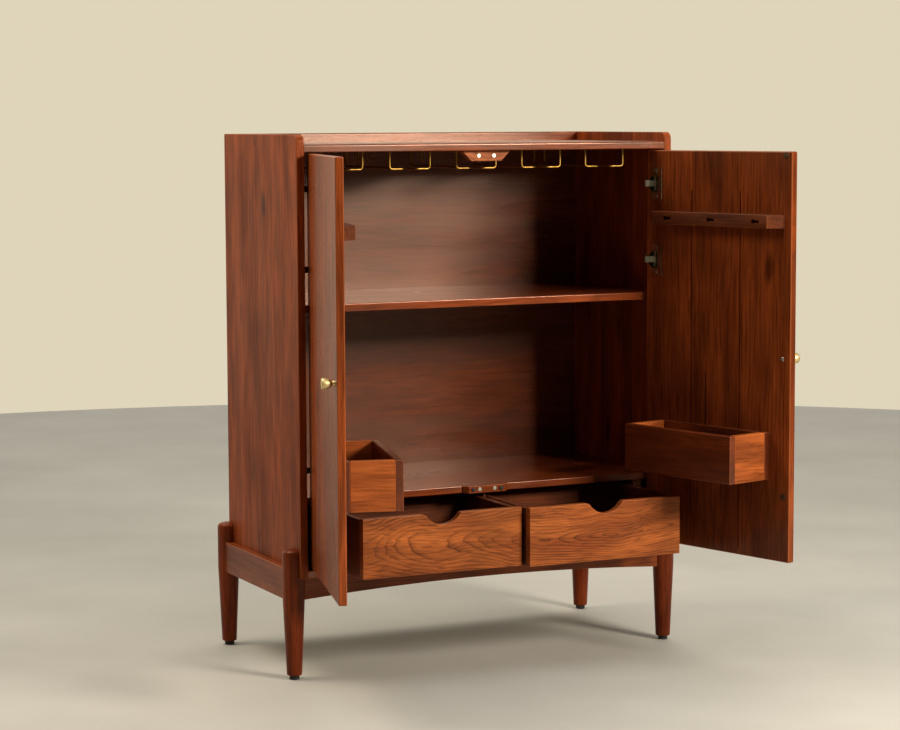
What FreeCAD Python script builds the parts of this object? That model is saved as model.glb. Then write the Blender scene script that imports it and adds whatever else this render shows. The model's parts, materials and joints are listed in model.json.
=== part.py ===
import FreeCAD, Part
import math
import os

# Bar armoire: a lacquered hardwood cabinet on a turned-leg base, with two inset doors on concealed
# hinges, two drawers, door bins, tool rails and stemware hangers.
# Millimetres. X runs to the right, Y to the back, Z up. The origin lies on the floor, below the middle
# of the side panels. The model is stored with both doors open and both drawers pulled out.

V = FreeCAD.Vector
UP = V(0, 0, 1)
BACK = V(0, 1, 0)
RIGHT = V(1, 0, 0)

# Carcass
overall_height = 1016.0
body_width = 792.0
side_depth = 377.0
side_board = 15.0
side_lift = 194.0
side_corner_radius = 14.0
gallery_height = 17.5
gallery_board = 15.0
top_thickness = 15.0
nosing_radius = 4.0
floor_board = 14.0
back_board = 9.0
back_inset = 2.0
arris_radius = 1.5
cut_overrun = 2.0
turning_sides = 24
parallel_share = 0.000001
right_angle = 90.0
full_turn = 360.0

# Shelves
shelf_board = 15.0
upper_bay_height = 282.5
shelf_setback = 30.0
shelf_end_play = 0.8
deck_board = 14.0
deck_setback = 30.0
shelf_pin_diameter = 5.0
shelf_pin_reach = 9.0
shelf_pin_seat = 8.0
shelf_pin_inset = 45.0
pin_hole_play = 0.1

# Base frame
leg_axis_out = 3.0
front_leg_inset = 29.0
rear_leg_inset = 2.0
leg_top_radius = 21.0
leg_foot_radius = 14.5
leg_straight = 36.0
tongue_rise = 54.0
dome_bands = 3
glide_radius = 9.5
glide_height = 8.0
glide_bevel = 1.5
rail_board = 15.0
rail_height = 60.0
rail_drop = 45.0
apron_board = 18.0
apron_arch_rise = 13.0

# Drawers and their bay
bay_height = 119.0
bay_side_room = 33.5
drawer_front_board = 15.0
drawer_front_lift = 1.0
drawer_head_gap = 7.0
drawer_front_setback = 122.0
drawer_side_board = 12.0
drawer_side_drop = 2.0
drawer_glide_play = 0.3
drawer_bottom_board = 6.0
drawer_bottom_lift = 8.0
drawer_side_play = 1.5
drawer_rear_room = 4.0
left_drawer_hold = 76.0
right_drawer_hold = 56.0
scoop_width = 83.0
scoop_depth = 21.0
scoop_shoulder_radius = 10.0
partition_board = 18.0
divider_board = 4.0

# Doors
door_board = 15.0
door_hinge_gap = 2.5
door_top_gap = 2.5
door_bottom_gap = 2.0
door_meeting_gap = 2.0
door_open_angle = 105.0

# Concealed hinges
hinge_top_drop = 65.0
hinge_shelf_rise = 66.0
hinge_deck_rise = 52.0
pin_edge_distance = 14.5
cup_diameter = 35.0
pin_depth_share = 8 / 35
pin_offset_share = 3 / 14
cup_cover = 3.0
cup_wall = 0.8
cup_bore_play = 0.1
flange_height = 62.0
flange_width = 20.0
flange_thickness = 1.0
hinge_pin_diameter = 3.0
hinge_pin_end_play = 0.15
eye_wall = 1.1
eye_play = 0.1
eye_sides = 8
arm_width = 12.0
arm_thickness = 1.8
arm_door_clearance = 0.9
arm_bend_radius = 5.0
arm_run = 34.0
plate_thickness = 3.5
plate_height = 32.0
plate_setback = 4.0

# Door fittings, measured from the hinge edge, the inner face and the door's lower edge
tool_rail_margin = 17.0
tool_rail_free_margin = 17.5
tool_rail_depth = 25.0
tool_rail_height = 25.0
tool_rail_bevel = 22.0
tool_rail_drop = 118.0
keyhole_spacing_share = 0.383
keyhole_diameter = 9.0
keyhole_slot_width = 5.0
keyhole_slot_length = 15.0
keyhole_depth = 12.0
keyhole_offsets_shares = (-1, 0, 1)
bin_start = 50.0
bin_free_margin = 50.5
bin_depth = 108.0
bin_height = 90.0
bin_deck_gap = 23.0
bin_board = 14.0
bin_floor_board = 6.0
bin_floor_lift = 6.0
knob_edge_distance = 19.5
knob_lift = 384.0
knob_length = 24.0
knob_face_radius = 10.0
knob_foot_radius = 5.0
knob_neck_radius = 3.8
knob_collar = 2.5
knob_face_bevel = 2.0
knob_stud_diameter = 4.0
knob_stud_play = 0.2
strike_edge_distance = 15.0
strike_diameter = 12.0
strike_thickness = 1.2

# Catches
catch_gap = 1.3
top_catch_length = 104.0
top_catch_bevel = 20.0
top_catch_height = 20.0
top_catch_depth = 16.0
bottom_catch_length = 100.0
bottom_catch_bevel = 11.0
magnet_diameter = 8.0
magnet_seat = 5.0
magnet_proud = 0.5
bumper_diameter = 8.0
bumper_margin = 9.0
bumper_gap = 0.3

# Stemware hangers
hanger_count = 5
hanger_side_room = 59.0
hanger_wire = 4.0
hanger_mouth = 84.0
hanger_slot = 24.0
hanger_drop = 36.0
hanger_front_setback = 62.0
hanger_rear_room = 31.0
hanger_bend_radius = 9.0
hanger_wire_sides = 6
mitred_corners = 1

# Derived places
front = -side_depth / 2
inner_half = body_width / 2 - side_board
outer_half = body_width / 2
top_surface = overall_height - gallery_height
top_underside = top_surface - top_thickness
floor_top = side_lift + floor_board
deck_underside = floor_top + bay_height
deck_top = deck_underside + deck_board
shelf_top = top_underside - upper_bay_height
shelf_underside = shelf_top - shelf_board
rear_face = front + side_depth - back_inset
back_front = rear_face - back_board
bay_front = front + deck_setback
door_bottom = floor_top + door_bottom_gap
door_top = top_underside - door_top_gap
door_height = door_top - door_bottom
door_width = inner_half - door_hinge_gap - door_meeting_gap / 2
hinge_edge = -inner_half + door_hinge_gap
door_inner = front + door_board
pin_depth = cup_diameter * pin_depth_share
pin_to_cup = cup_diameter * pin_offset_share
cup_depth = door_board - cup_cover
cup_x = hinge_edge + pin_edge_distance + pin_to_cup
pole_x = hinge_edge + pin_edge_distance
pole_y = door_inner - pin_depth
partition_outer = inner_half - bay_side_room
partition_inner = partition_outer - partition_board
drawer_inner_edge = divider_board / 2 + drawer_side_play
drawer_outer_edge = partition_inner - drawer_side_play
catch_face = door_inner + strike_thickness + catch_gap
top_catch_height_mid = top_underside - top_catch_height / 2
bottom_catch_height_mid = deck_underside + deck_board / 2
rail_bottom = side_lift - rail_drop
leg_x = outer_half + leg_axis_out
front_leg_y = front + front_leg_inset
rear_leg_y = front + side_depth - rear_leg_inset

nodes = {}


def box(x0, x1, y0, y1, z0, z1):
    return Part.makeBox(x1 - x0, y1 - y0, z1 - z0, V(x0, y0, z0))


def rod(start, direction, length, radius):
    return Part.makeCylinder(radius, length, start, direction)


def flat_face(corners):
    return Part.Face(Part.makePolygon(corners + corners[:1]))


def prism(points, travel):
    return flat_face(points).extrude(travel)


def join(shapes):
    return shapes[0].multiFuse(shapes[1:]).removeSplitter()


def ring(radius, z, sides):
    """The corners of a many-sided ring about the upright axis."""
    angles = [math.radians(full_turn * side / sides) for side in range(sides)]
    return [V(radius * math.cos(angle), radius * math.sin(angle), z) for angle in angles]


def turned(sections):
    """A turned form with flat sides through rings given by their radius and height, and flat ends."""
    rings = [ring(radius, z, turning_sides) for radius, z in sections]
    faces = [flat_face(rings[0]), flat_face(rings[-1])]
    for low, high in zip(rings, rings[1:]):
        for side in range(turning_sides):
            faces.append(flat_face([low[side - 1], low[side], high[side], high[side - 1]]))
    return Part.makeSolid(Part.makeShell(faces))


def line(a, b):
    return Part.LineSegment(a, b).toShape()


def arc(a, middle, b):
    return Part.Arc(a, middle, b).toShape()


def ease(shape, radius, picked):
    """Round the edges of a shape for which picked(edge) is true."""
    edges = [edge for edge in shape.Edges if picked(edge)]
    return shape.makeFillet(radius, edges)


def bevel(shape, size, picked):
    """Cut the edges of a shape for which picked(edge) is true at a slant."""
    edges = [edge for edge in shape.Edges if picked(edge)]
    return shape.makeChamfer(size, edges)


def along(edge, direction):
    """True for a straight edge parallel to the direction."""
    if not isinstance(edge.Curve, Part.Line):
        return False
    return edge.Curve.Direction.cross(direction).Length < parallel_share


def is_at(edge, y, z):
    """True for an edge whose middle has this depth and height."""
    middle = edge.CenterOfMass
    return math.isclose(middle.y, y) and math.isclose(middle.z, z)


def on_any(edge, depths, heights):
    """True for an edge whose middle has one of these depths and one of these heights."""
    return any(is_at(edge, y, z) for y in depths for z in heights)


def mirrored(shape):
    return shape.mirror(V(), RIGHT)


def add_pair(name, shape):
    """Store a left-hand piece and its mirror image."""
    nodes["left_" + name] = shape
    nodes["right_" + name] = mirrored(shape)


def shelf_pin_places():
    """Centre heights and depths of the pins that carry the middle shelf."""
    z = shelf_underside - shelf_pin_diameter / 2
    return [(front + shelf_setback + shelf_pin_inset, z), (back_front - shelf_pin_inset, z)]


def side_panel():
    """A side board whose front top corner is rounded, drilled for the shelf pins."""
    back_y = front + side_depth
    r = side_corner_radius
    lower_front = V(-outer_half, front, side_lift)
    below_corner = V(-outer_half, front, overall_height - r)
    past_corner = V(-outer_half, front + r, overall_height)
    on_corner = V(-outer_half, front + r - r / math.sqrt(2), overall_height - r + r / math.sqrt(2))
    upper_back = V(-outer_half, back_y, overall_height)
    lower_back = V(-outer_half, back_y, side_lift)
    outline = [
        line(lower_front, below_corner),
        arc(below_corner, on_corner, past_corner),
        line(past_corner, upper_back),
        line(upper_back, lower_back),
        line(lower_back, lower_front),
    ]
    panel = Part.Face(Part.Wire(outline)).extrude(RIGHT * side_board)
    for y, z in shelf_pin_places():
        start = V(-inner_half - shelf_pin_seat, y, z)
        hole_radius = shelf_pin_diameter / 2 + pin_hole_play
        panel = panel.cut(rod(start, RIGHT, shelf_pin_seat + cut_overrun, hole_radius))
    return panel


def carcass_boards():
    add_pair("side_panel", side_panel())
    gallery_front = rear_face - gallery_board
    top = box(-inner_half, inner_half, front, gallery_front, top_underside, top_surface)
    top = ease(top, nosing_radius, lambda e: along(e, RIGHT) and is_at(e, front, top_surface))
    nodes["top_board"] = top
    gallery = box(-inner_half, inner_half, gallery_front, rear_face, top_underside, overall_height)
    upper = [gallery_front, rear_face]
    gallery = ease(gallery, arris_radius, lambda e: along(e, RIGHT) and on_any(e, upper, [overall_height]))
    nodes["rear_gallery"] = gallery
    nodes["back_panel"] = box(-inner_half, inner_half, back_front, rear_face, side_lift, top_underside)
    nodes["carcass_floor"] = box(-inner_half, inner_half, front, back_front, side_lift, floor_top)
    deck = box(-inner_half, inner_half, bay_front, back_front, deck_underside, deck_top)
    deck_edges = [deck_underside, deck_top]
    nodes["drawer_deck"] = ease(deck, arris_radius, lambda e: on_any(e, [bay_front], deck_edges))
    shelf_half = inner_half - shelf_end_play
    shelf_front = front + shelf_setback
    shelf = box(-shelf_half, shelf_half, shelf_front, back_front, shelf_underside, shelf_top)
    shelf_edges = [shelf_underside, shelf_top]
    nodes["middle_shelf"] = ease(shelf, arris_radius, lambda e: on_any(e, [shelf_front], shelf_edges))
    pins = []
    for y, z in shelf_pin_places():
        start = V(-inner_half - shelf_pin_seat, y, z)
        pins.append(rod(start, RIGHT, shelf_pin_seat + shelf_pin_reach, shelf_pin_diameter / 2))
    nodes["shelf_pins"] = Part.makeCompound(pins + [mirrored(pin) for pin in pins])


def drawer_bay():
    """The boards that guide the drawers, between the carcass floor and the deck."""
    partition = box(-partition_outer, -partition_inner, bay_front, back_front, floor_top, deck_underside)
    add_pair("bay_partition", partition)
    half = divider_board / 2
    nodes["drawer_divider"] = box(-half, half, bay_front, back_front, floor_top, deck_underside)


def leg(y):
    """A turned leg: tapered below, domed above, notched so that the side panel stands on its shoulder."""
    tongue_top = side_lift + tongue_rise
    dome_end = math.radians(right_angle * dome_bands / (dome_bands + 1))
    dome_base = tongue_top - leg_top_radius * math.sin(dome_end)
    sections = [(leg_foot_radius, glide_height), (leg_top_radius, side_lift - leg_straight)]
    for band in range(dome_bands + 1):
        angle = dome_end * band / dome_bands
        sections.append((leg_top_radius * math.cos(angle), dome_base + leg_top_radius * math.sin(angle)))
    post = turned(sections)
    post.translate(V(-leg_x, y, 0))
    reach = leg_top_radius + cut_overrun
    notch = box(-outer_half, -leg_x + reach, y - reach, y + reach, side_lift, tongue_top + cut_overrun)
    return post.cut(notch)


def glide(y):
    """A black foot glide with a bevelled lower lip."""
    lip = glide_radius - glide_bevel
    foot = turned([(lip, 0), (glide_radius, glide_bevel), (glide_radius, glide_height)])
    foot.translate(V(-leg_x, y, 0))
    return foot


def apron(y, legs):
    """A board between two legs with an arched lower edge, coped to the legs."""
    y0 = y - apron_board / 2
    low_left = V(-leg_x, y0, rail_bottom)
    crown = V(0, y0, rail_bottom + apron_arch_rise)
    low_right = V(leg_x, y0, rail_bottom)
    high_right = V(leg_x, y0, side_lift)
    high_left = V(-leg_x, y0, side_lift)
    outline = [
        arc(low_left, crown, low_right),
        line(low_right, high_right),
        line(high_right, high_left),
        line(high_left, low_left),
    ]
    board = Part.Face(Part.Wire(outline)).extrude(BACK * apron_board)
    return board.cut(Part.makeCompound(legs))


def base_frame():
    front_leg = leg(front_leg_y)
    rear_leg = leg(rear_leg_y)
    nodes["front_left_leg"] = front_leg
    nodes["front_right_leg"] = mirrored(front_leg)
    nodes["rear_left_leg"] = rear_leg
    nodes["rear_right_leg"] = mirrored(rear_leg)
    rail_top = rail_bottom + rail_height
    rail = box(-outer_half - rail_board, -outer_half, front_leg_y, rear_leg_y, rail_bottom, rail_top)
    add_pair("side_rail", rail.cut(Part.makeCompound([front_leg, rear_leg])))
    nodes["front_apron"] = apron(front_leg_y, [front_leg, mirrored(front_leg)])
    nodes["rear_apron"] = apron(rear_leg_y - apron_board / 2, [rear_leg, mirrored(rear_leg)])
    glides = [glide(front_leg_y), glide(rear_leg_y)]
    nodes["foot_glides"] = Part.makeCompound(glides + [mirrored(g) for g in glides])


def magnet_places():
    """Left-hand magnets face the strike discs of the closed left door."""
    x = -door_meeting_gap / 2 - strike_edge_distance
    return [V(x, catch_face, top_catch_height_mid), V(x, catch_face, bottom_catch_height_mid)]


def catches():
    half = top_catch_length / 2
    lower_half = half - top_catch_bevel
    low = top_underside - top_catch_height
    top_outline = [
        V(-half, catch_face, top_underside),
        V(-lower_half, catch_face, low),
        V(lower_half, catch_face, low),
        V(half, catch_face, top_underside),
    ]
    top_block = prism(top_outline, BACK * top_catch_depth)
    back_half = bottom_catch_length / 2
    front_half = back_half - bottom_catch_bevel
    bottom_outline = [
        V(-back_half, bay_front, deck_underside),
        V(-front_half, catch_face, deck_underside),
        V(front_half, catch_face, deck_underside),
        V(back_half, bay_front, deck_underside),
    ]
    bottom_block = prism(bottom_outline, UP * deck_board)
    magnets = []
    for place in magnet_places():
        start = place - BACK * magnet_proud
        magnet = rod(start, BACK, magnet_seat + magnet_proud, magnet_diameter / 2)
        magnets += [magnet, mirrored(magnet)]
    bumper_start = V(bumper_margin - front_half, door_inner + bumper_gap, bottom_catch_height_mid)
    bumper_length = catch_face - door_inner - bumper_gap
    bumper = rod(bumper_start, BACK, bumper_length, bumper_diameter / 2)
    bumpers = [bumper, mirrored(bumper)]
    nodes["top_catch_block"] = top_block.cut(Part.makeCompound(magnets))
    nodes["bottom_catch_block"] = bottom_block.cut(Part.makeCompound(magnets))
    nodes["catch_magnets"] = Part.makeCompound(magnets)
    nodes["catch_bumpers"] = Part.makeCompound(bumpers)


def bent_wire(points, bend_radius, radius, sides):
    """A many-sided wire along straight runs, the first upright, with each bend made of two mitred runs."""
    path = points[:1]
    for before, corner, after in zip(points, points[1:], points[2:]):
        come = (corner - before).normalize()
        go = (after - corner).normalize()
        half_turn = come.getAngle(go) / 2
        reach = bend_radius * math.tan(half_turn)
        inward = (go - come).normalize()
        middle = corner + inward * bend_radius * (1 / math.cos(half_turn) - 1)
        path += [corner - come * reach, middle, corner + go * reach]
    path += points[-1:]
    rim = [points[0] + corner for corner in ring(radius, 0, sides)]
    section = Part.makePolygon(rim + rim[:1])
    return Part.makePolygon(path).makePipeShell([section], True, False, mitred_corners)


def stemware_hangers():
    """Brass wires that drop from the top board, turn in to a slot and run to the back."""
    low = top_underside - hanger_drop + hanger_wire / 2
    y_front = front + hanger_front_setback
    y_rear = back_front - hanger_rear_room
    gaps = hanger_count - 1
    pitch = ((inner_half - hanger_side_room) * 2 - hanger_mouth) / gaps
    for index in range(hanger_count):
        centre = (index - gaps / 2) * pitch
        wires = []
        for side in (-1, 1):
            x_mouth = centre + side * hanger_mouth / 2
            x_slot = centre + side * hanger_slot / 2
            route = [
                V(x_mouth, y_front, top_underside),
                V(x_mouth, y_front, low),
                V(x_slot, y_front, low),
                V(x_slot, y_rear, low),
                V(x_slot, y_rear, top_underside),
            ]
            wires.append(bent_wire(route, hanger_bend_radius, hanger_wire / 2, hanger_wire_sides))
        nodes["stemware_hanger_%d" % (index + 1)] = Part.makeCompound(wires)


def hinge_heights():
    """Middle heights of a door's hinges: near its top, above the middle shelf and above the deck."""
    return [door_top - hinge_top_drop, shelf_top + hinge_shelf_rise, deck_top + hinge_deck_rise]


def ring_sector(centre, radius, thickness, z, height, start_angle, sweep):
    """Part of a flat-walled ring, standing upright, from start_angle over sweep degrees."""
    floor = V(centre.x, centre.y, z)
    outer = Part.makeCylinder(radius + thickness / 2, height, floor, UP, sweep)
    inner = Part.makeCylinder(radius - thickness / 2, height, floor, UP, sweep)
    sector = outer.cut(inner)
    sector.rotate(floor, UP, start_angle)
    return sector


def arm_lead_angle():
    """Angle at which an arm leaves its pin, so that it clears both rims of the cup from shut to open."""
    cup_inner = math.sqrt((cup_diameter / 2 - cup_wall) ** 2 - (arm_width / 2) ** 2)
    far = V(pin_to_cup + cup_inner, pin_depth, 0)
    near = V(pin_to_cup - cup_inner, pin_depth, 0)
    far_angle = math.degrees(math.atan2(far.y, far.x))
    near_angle = math.degrees(math.atan2(near.y, near.x)) - door_open_angle
    return (far.Length * far_angle + near.Length * near_angle) / (far.Length + near.Length)


def arm_neck_radius():
    """Radius of an arm's neck about the pin, just clear of the door's hinge edge."""
    corner_reach = math.hypot(pin_edge_distance, max(pin_depth, door_board - pin_depth))
    return corner_reach + arm_door_clearance + arm_thickness / 2


def hinge_arm(z_middle):
    """A swan-neck arm: an eye on the hinge pin, a neck round the door's edge, a run along the side panel."""
    z = z_middle - arm_width / 2
    pole = V(pole_x, pole_y, z)
    half = arm_thickness / 2
    neck_radius = arm_neck_radius()
    lead_angle = arm_lead_angle()
    eye_bore = hinge_pin_diameter / 2 + eye_play
    eye = prism(ring(eye_bore + eye_wall, 0, eye_sides), UP * arm_width)
    eye.translate(pole)
    lead = box(pole_x, pole_x + neck_radius, pole_y - half, pole_y + half, z, z + arm_width)
    lead.rotate(pole, UP, lead_angle)
    neck = ring_sector(pole, neck_radius, arm_thickness, z, arm_width, lead_angle, right_angle - lead_angle)
    run_x = -inner_half + plate_thickness + half
    bend = V(run_x + arm_bend_radius, pole_y + neck_radius + arm_bend_radius, z)
    bridge_y = pole_y + neck_radius
    bridge = box(bend.x, pole_x, bridge_y - half, bridge_y + half, z, z + arm_width)
    corner = ring_sector(bend, arm_bend_radius, arm_thickness, z, arm_width, 2 * right_angle, right_angle)
    run = box(run_x - half, run_x + half, bend.y, bend.y + arm_run, z, z + arm_width)
    arm = join([eye, lead, neck, bridge, corner, run])
    bore = rod(pole - UP * cut_overrun, UP, arm_width + cut_overrun * 2, eye_bore)
    return arm.cut(bore)


def hinge_plate(z_middle):
    """The mounting plate that carries an arm on the side panel."""
    bend_y = pole_y + arm_neck_radius() + arm_bend_radius
    y0 = bend_y + plate_setback
    y1 = bend_y + arm_run
    z0 = z_middle - plate_height / 2
    plate = box(-inner_half, -inner_half + plate_thickness, y0, y1, z0, z0 + plate_height)
    return bevel(plate, (y1 - y0) / 4, lambda e: along(e, RIGHT))


def hinge_cup(z_middle):
    """A pressed cup with two screw wings, open towards the inside of the cabinet."""
    face = V(cup_x, door_inner, z_middle)
    radius = cup_diameter / 2
    shell = rod(face - BACK * cup_depth, BACK, cup_depth, radius)
    hollow = rod(face - BACK * (cup_depth - cup_wall), BACK, cup_depth + cut_overrun, radius - cup_wall)
    half = flange_width / 2
    z0 = z_middle - flange_height / 2
    wing_face = door_inner + flange_thickness
    wings = box(cup_x - half, cup_x + half, door_inner, wing_face, z0, z0 + flange_height)
    wings = bevel(wings, half / 2, lambda e: along(e, BACK))
    return join([shell, wings]).cut(hollow)


def hinge_pin(z_middle):
    """An upright pin across the cup, just short of its wall."""
    inner = cup_diameter / 2 - cup_wall
    off_centre = pin_to_cup + hinge_pin_diameter / 2
    half_length = math.sqrt(inner ** 2 - off_centre ** 2) - hinge_pin_end_play
    start = V(pole_x, pole_y, z_middle - half_length)
    return rod(start, UP, half_length * 2, hinge_pin_diameter / 2)


def door_panel():
    """The solid door leaf, bored for the hinge cups and drilled for the knob."""
    leaf = box(hinge_edge, hinge_edge + door_width, front, door_inner, door_bottom, door_top)
    leaf = bevel(leaf, arris_radius, lambda e: along(e, UP))
    for z in hinge_heights():
        seat = V(cup_x, door_inner - cup_depth, z)
        leaf = leaf.cut(rod(seat, BACK, cup_depth + cut_overrun, cup_diameter / 2 + cup_bore_play))
    hole_start = V(hinge_edge + door_width - knob_edge_distance, front - cut_overrun, door_bottom + knob_lift)
    hole_radius = knob_stud_diameter / 2 + knob_stud_play
    return leaf.cut(rod(hole_start, BACK, door_board + cut_overrun * 2, hole_radius))


def knob():
    """A turned brass knob: a collar, a waist and a cone that widens to a bevelled flat face, on a stud."""
    body = turned([
        (knob_foot_radius, 0),
        (knob_foot_radius, knob_collar),
        (knob_neck_radius, knob_collar * 2),
        (knob_face_radius, knob_length - knob_face_bevel),
        (knob_face_radius - knob_face_bevel, knob_length),
    ])
    stud = rod(UP * -door_board, UP, door_board, knob_stud_diameter / 2)
    whole = join([body, stud])
    whole.rotate(V(), RIGHT, right_angle)
    whole.translate(V(hinge_edge + door_width - knob_edge_distance, front, door_bottom + knob_lift))
    return whole


def tool_rail():
    """A bevelled rail on the inner face, with keyhole slots for hanging bar tools."""
    x0 = hinge_edge + tool_rail_margin
    x1 = hinge_edge + door_width - tool_rail_free_margin
    z0 = door_top - tool_rail_drop - tool_rail_height
    face = door_inner + tool_rail_depth
    outline = [
        V(x0, door_inner, z0),
        V(x1, door_inner, z0),
        V(x1 - tool_rail_bevel, face, z0),
        V(x0 + tool_rail_bevel, face, z0),
    ]
    rail = prism(outline, UP * tool_rail_height)
    z_middle = z0 + tool_rail_height / 2
    half_slot = keyhole_slot_width / 2
    spacing = (x1 - x0 - tool_rail_bevel * 2) * keyhole_spacing_share
    slot_deep = face - keyhole_depth
    slot_out = face + cut_overrun
    for share in keyhole_offsets_shares:
        x = (x0 + x1) / 2 + share * spacing
        slot_end = x + keyhole_slot_length
        hole = rod(V(x, slot_deep, z_middle), BACK, slot_out - slot_deep, keyhole_diameter / 2)
        slot = box(x, slot_end, slot_deep, slot_out, z_middle - half_slot, z_middle + half_slot)
        rail = rail.cut(hole).cut(slot)
    return rail


def bin_pieces():
    """The open bin on a door: two long boards, two ends between them, and a raised floor."""
    x0 = hinge_edge + bin_start
    x1 = hinge_edge + door_width - bin_free_margin
    y0 = door_inner
    y1 = y0 + bin_depth
    z0 = deck_top + bin_deck_gap
    z1 = z0 + bin_height
    b = bin_board
    long_boards = [box(x0, x1, y0, y0 + b, z0, z1), box(x0, x1, y1 - b, y1, z0, z1)]
    ends = [box(x0, x0 + b, y0 + b, y1 - b, z0, z1), box(x1 - b, x1, y0 + b, y1 - b, z0, z1)]
    floor_z = z0 + bin_floor_lift
    floor = box(x0 + b, x1 - b, y0 + b, y1 - b, floor_z, floor_z + bin_floor_board)
    return Part.makeCompound(long_boards), Part.makeCompound(ends), floor


def strike_discs():
    x = -door_meeting_gap / 2 - strike_edge_distance
    discs = []
    for place in magnet_places():
        discs.append(rod(V(x, door_inner, place.z), BACK, strike_thickness, strike_diameter / 2))
    return Part.makeCompound(discs)


def opened(shape):
    """Swing a piece of the shut left door to its open place."""
    swung = shape.copy()
    swung.rotate(V(pole_x, pole_y, 0), UP, -door_open_angle)
    return swung


def doors():
    heights = hinge_heights()
    add_pair("hinge_arms", Part.makeCompound([hinge_arm(z) for z in heights]))
    add_pair("hinge_plates", Part.makeCompound([hinge_plate(z) for z in heights]))
    add_pair("hinge_cups", opened(Part.makeCompound([hinge_cup(z) for z in heights])))
    add_pair("hinge_pins", opened(Part.makeCompound([hinge_pin(z) for z in heights])))
    add_pair("door_panel", opened(door_panel()))
    add_pair("door_knob", opened(knob()))
    add_pair("tool_rail", opened(tool_rail()))
    long_boards, ends, floor = bin_pieces()
    add_pair("bin_long_boards", opened(long_boards))
    add_pair("bin_ends", opened(ends))
    add_pair("bin_floor", opened(floor))
    add_pair("strike_discs", opened(strike_discs()))


def drawer_front(x0, x1, y0, z0, z1):
    """A drawer front whose upper edge dips in a scoop between two rounded shoulders."""
    centre = (x0 + x1) / 2
    half = scoop_width / 2
    shoulder = scoop_shoulder_radius
    reach = (half ** 2 + scoop_depth ** 2) / (scoop_depth * 2)
    touch = V(half - half * shoulder / reach, 0, shoulder - shoulder * (reach - scoop_depth) / reach)
    lean = math.atan2(half, reach - scoop_depth) / 2
    crest = V(half - shoulder * math.sin(lean), 0, shoulder - shoulder * math.cos(lean))

    def at(offset, side):
        return V(centre + side * offset.x, y0, z1 - offset.z)

    start = V(half, 0, 0)
    low = V(0, 0, scoop_depth)
    outline = [
        line(V(x0, y0, z0), V(x0, y0, z1)),
        line(V(x0, y0, z1), at(start, -1)),
        arc(at(start, -1), at(crest, -1), at(touch, -1)),
        arc(at(touch, -1), at(low, 1), at(touch, 1)),
        arc(at(touch, 1), at(crest, 1), at(start, 1)),
        line(at(start, 1), V(x1, y0, z1)),
        line(V(x1, y0, z1), V(x1, y0, z0)),
        line(V(x1, y0, z0), V(x0, y0, z0)),
    ]
    return Part.Face(Part.Wire(outline)).extrude(BACK * drawer_front_board)


def drawer(hold):
    """The left drawer's pieces, drawn forward until its rear end lies hold behind the bay's front edge."""
    x0 = -drawer_outer_edge
    x1 = -drawer_inner_edge
    y1 = bay_front + hold
    y0 = y1 - (back_front - drawer_rear_room - front - drawer_front_setback)
    box_front = y0 + drawer_front_board
    z_front = floor_top + drawer_front_lift
    z_front_top = deck_underside - drawer_head_gap
    z0 = floor_top + drawer_glide_play
    z1 = z_front_top - drawer_side_drop
    t = drawer_side_board
    sides = [box(x0, x0 + t, box_front, y1, z0, z1), box(x1 - t, x1, box_front, y1, z0, z1)]
    bottom_z = z0 + drawer_bottom_lift
    bottom = box(x0 + t, x1 - t, box_front, y1 - t, bottom_z, bottom_z + drawer_bottom_board)
    return {
        "drawer_front": drawer_front(x0, x1, y0, z_front, z_front_top),
        "drawer_sides": Part.makeCompound(sides),
        "drawer_back": box(x0 + t, x1 - t, y1 - t, y1, z0, z1),
        "drawer_bottom": bottom,
    }


def drawers():
    for name, shape in drawer(left_drawer_hold).items():
        nodes["left_" + name] = shape
    for name, shape in drawer(right_drawer_hold).items():
        nodes["right_" + name] = mirrored(shape)


carcass_boards()
drawer_bay()
base_frame()
catches()
stemware_hangers()
doors()
drawers()

os.makedirs("parts", exist_ok=True)
for node, shape in nodes.items():
    if not shape.isValid():
        raise RuntimeError("not a valid solid: " + node)
    shape.exportStep(os.path.join("parts", node + ".step"))
print("%d nodes, door %.1f x %.1f mm" % (len(nodes), door_width, door_height))
print("hinge pole at %.2f, %.2f mm" % (pole_x, pole_y))
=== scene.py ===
# %% [markdown]
# # A bar armoire with its doors open
#
# The cabinet is a real assembly: a carcass on a turned-leg base, two doors on concealed hinges, two
# drawers, and the fittings of a small bar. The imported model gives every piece's place, so nothing is
# fitted by eye. This lesson gives each piece its finished surface, and each finish its material.

# %% Load the frame
import itertools
import json
import math

import bpy
import numpy as np
from mathutils import Matrix
from mathutils.geometry import tessellate_polygon


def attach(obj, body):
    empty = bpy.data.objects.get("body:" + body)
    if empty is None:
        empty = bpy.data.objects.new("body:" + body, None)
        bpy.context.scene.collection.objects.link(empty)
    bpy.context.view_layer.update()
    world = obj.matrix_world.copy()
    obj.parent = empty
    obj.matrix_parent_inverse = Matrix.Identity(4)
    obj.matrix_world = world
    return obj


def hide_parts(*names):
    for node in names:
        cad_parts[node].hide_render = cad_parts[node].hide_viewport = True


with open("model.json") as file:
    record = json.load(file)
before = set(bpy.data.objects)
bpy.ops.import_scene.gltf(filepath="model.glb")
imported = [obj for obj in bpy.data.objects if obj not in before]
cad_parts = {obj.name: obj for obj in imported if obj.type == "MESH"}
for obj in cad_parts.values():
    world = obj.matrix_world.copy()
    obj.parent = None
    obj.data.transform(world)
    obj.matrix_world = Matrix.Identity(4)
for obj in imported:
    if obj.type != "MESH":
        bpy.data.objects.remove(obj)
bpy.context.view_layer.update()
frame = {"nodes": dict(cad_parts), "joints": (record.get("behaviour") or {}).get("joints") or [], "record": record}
body_of = {node: body for body, nodes in frame["record"]["behaviour"]["bodies"].items() for node in nodes}
hinges = {joint["child"]: joint for joint in frame["joints"] if joint["type"] == "hinge"}

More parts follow.
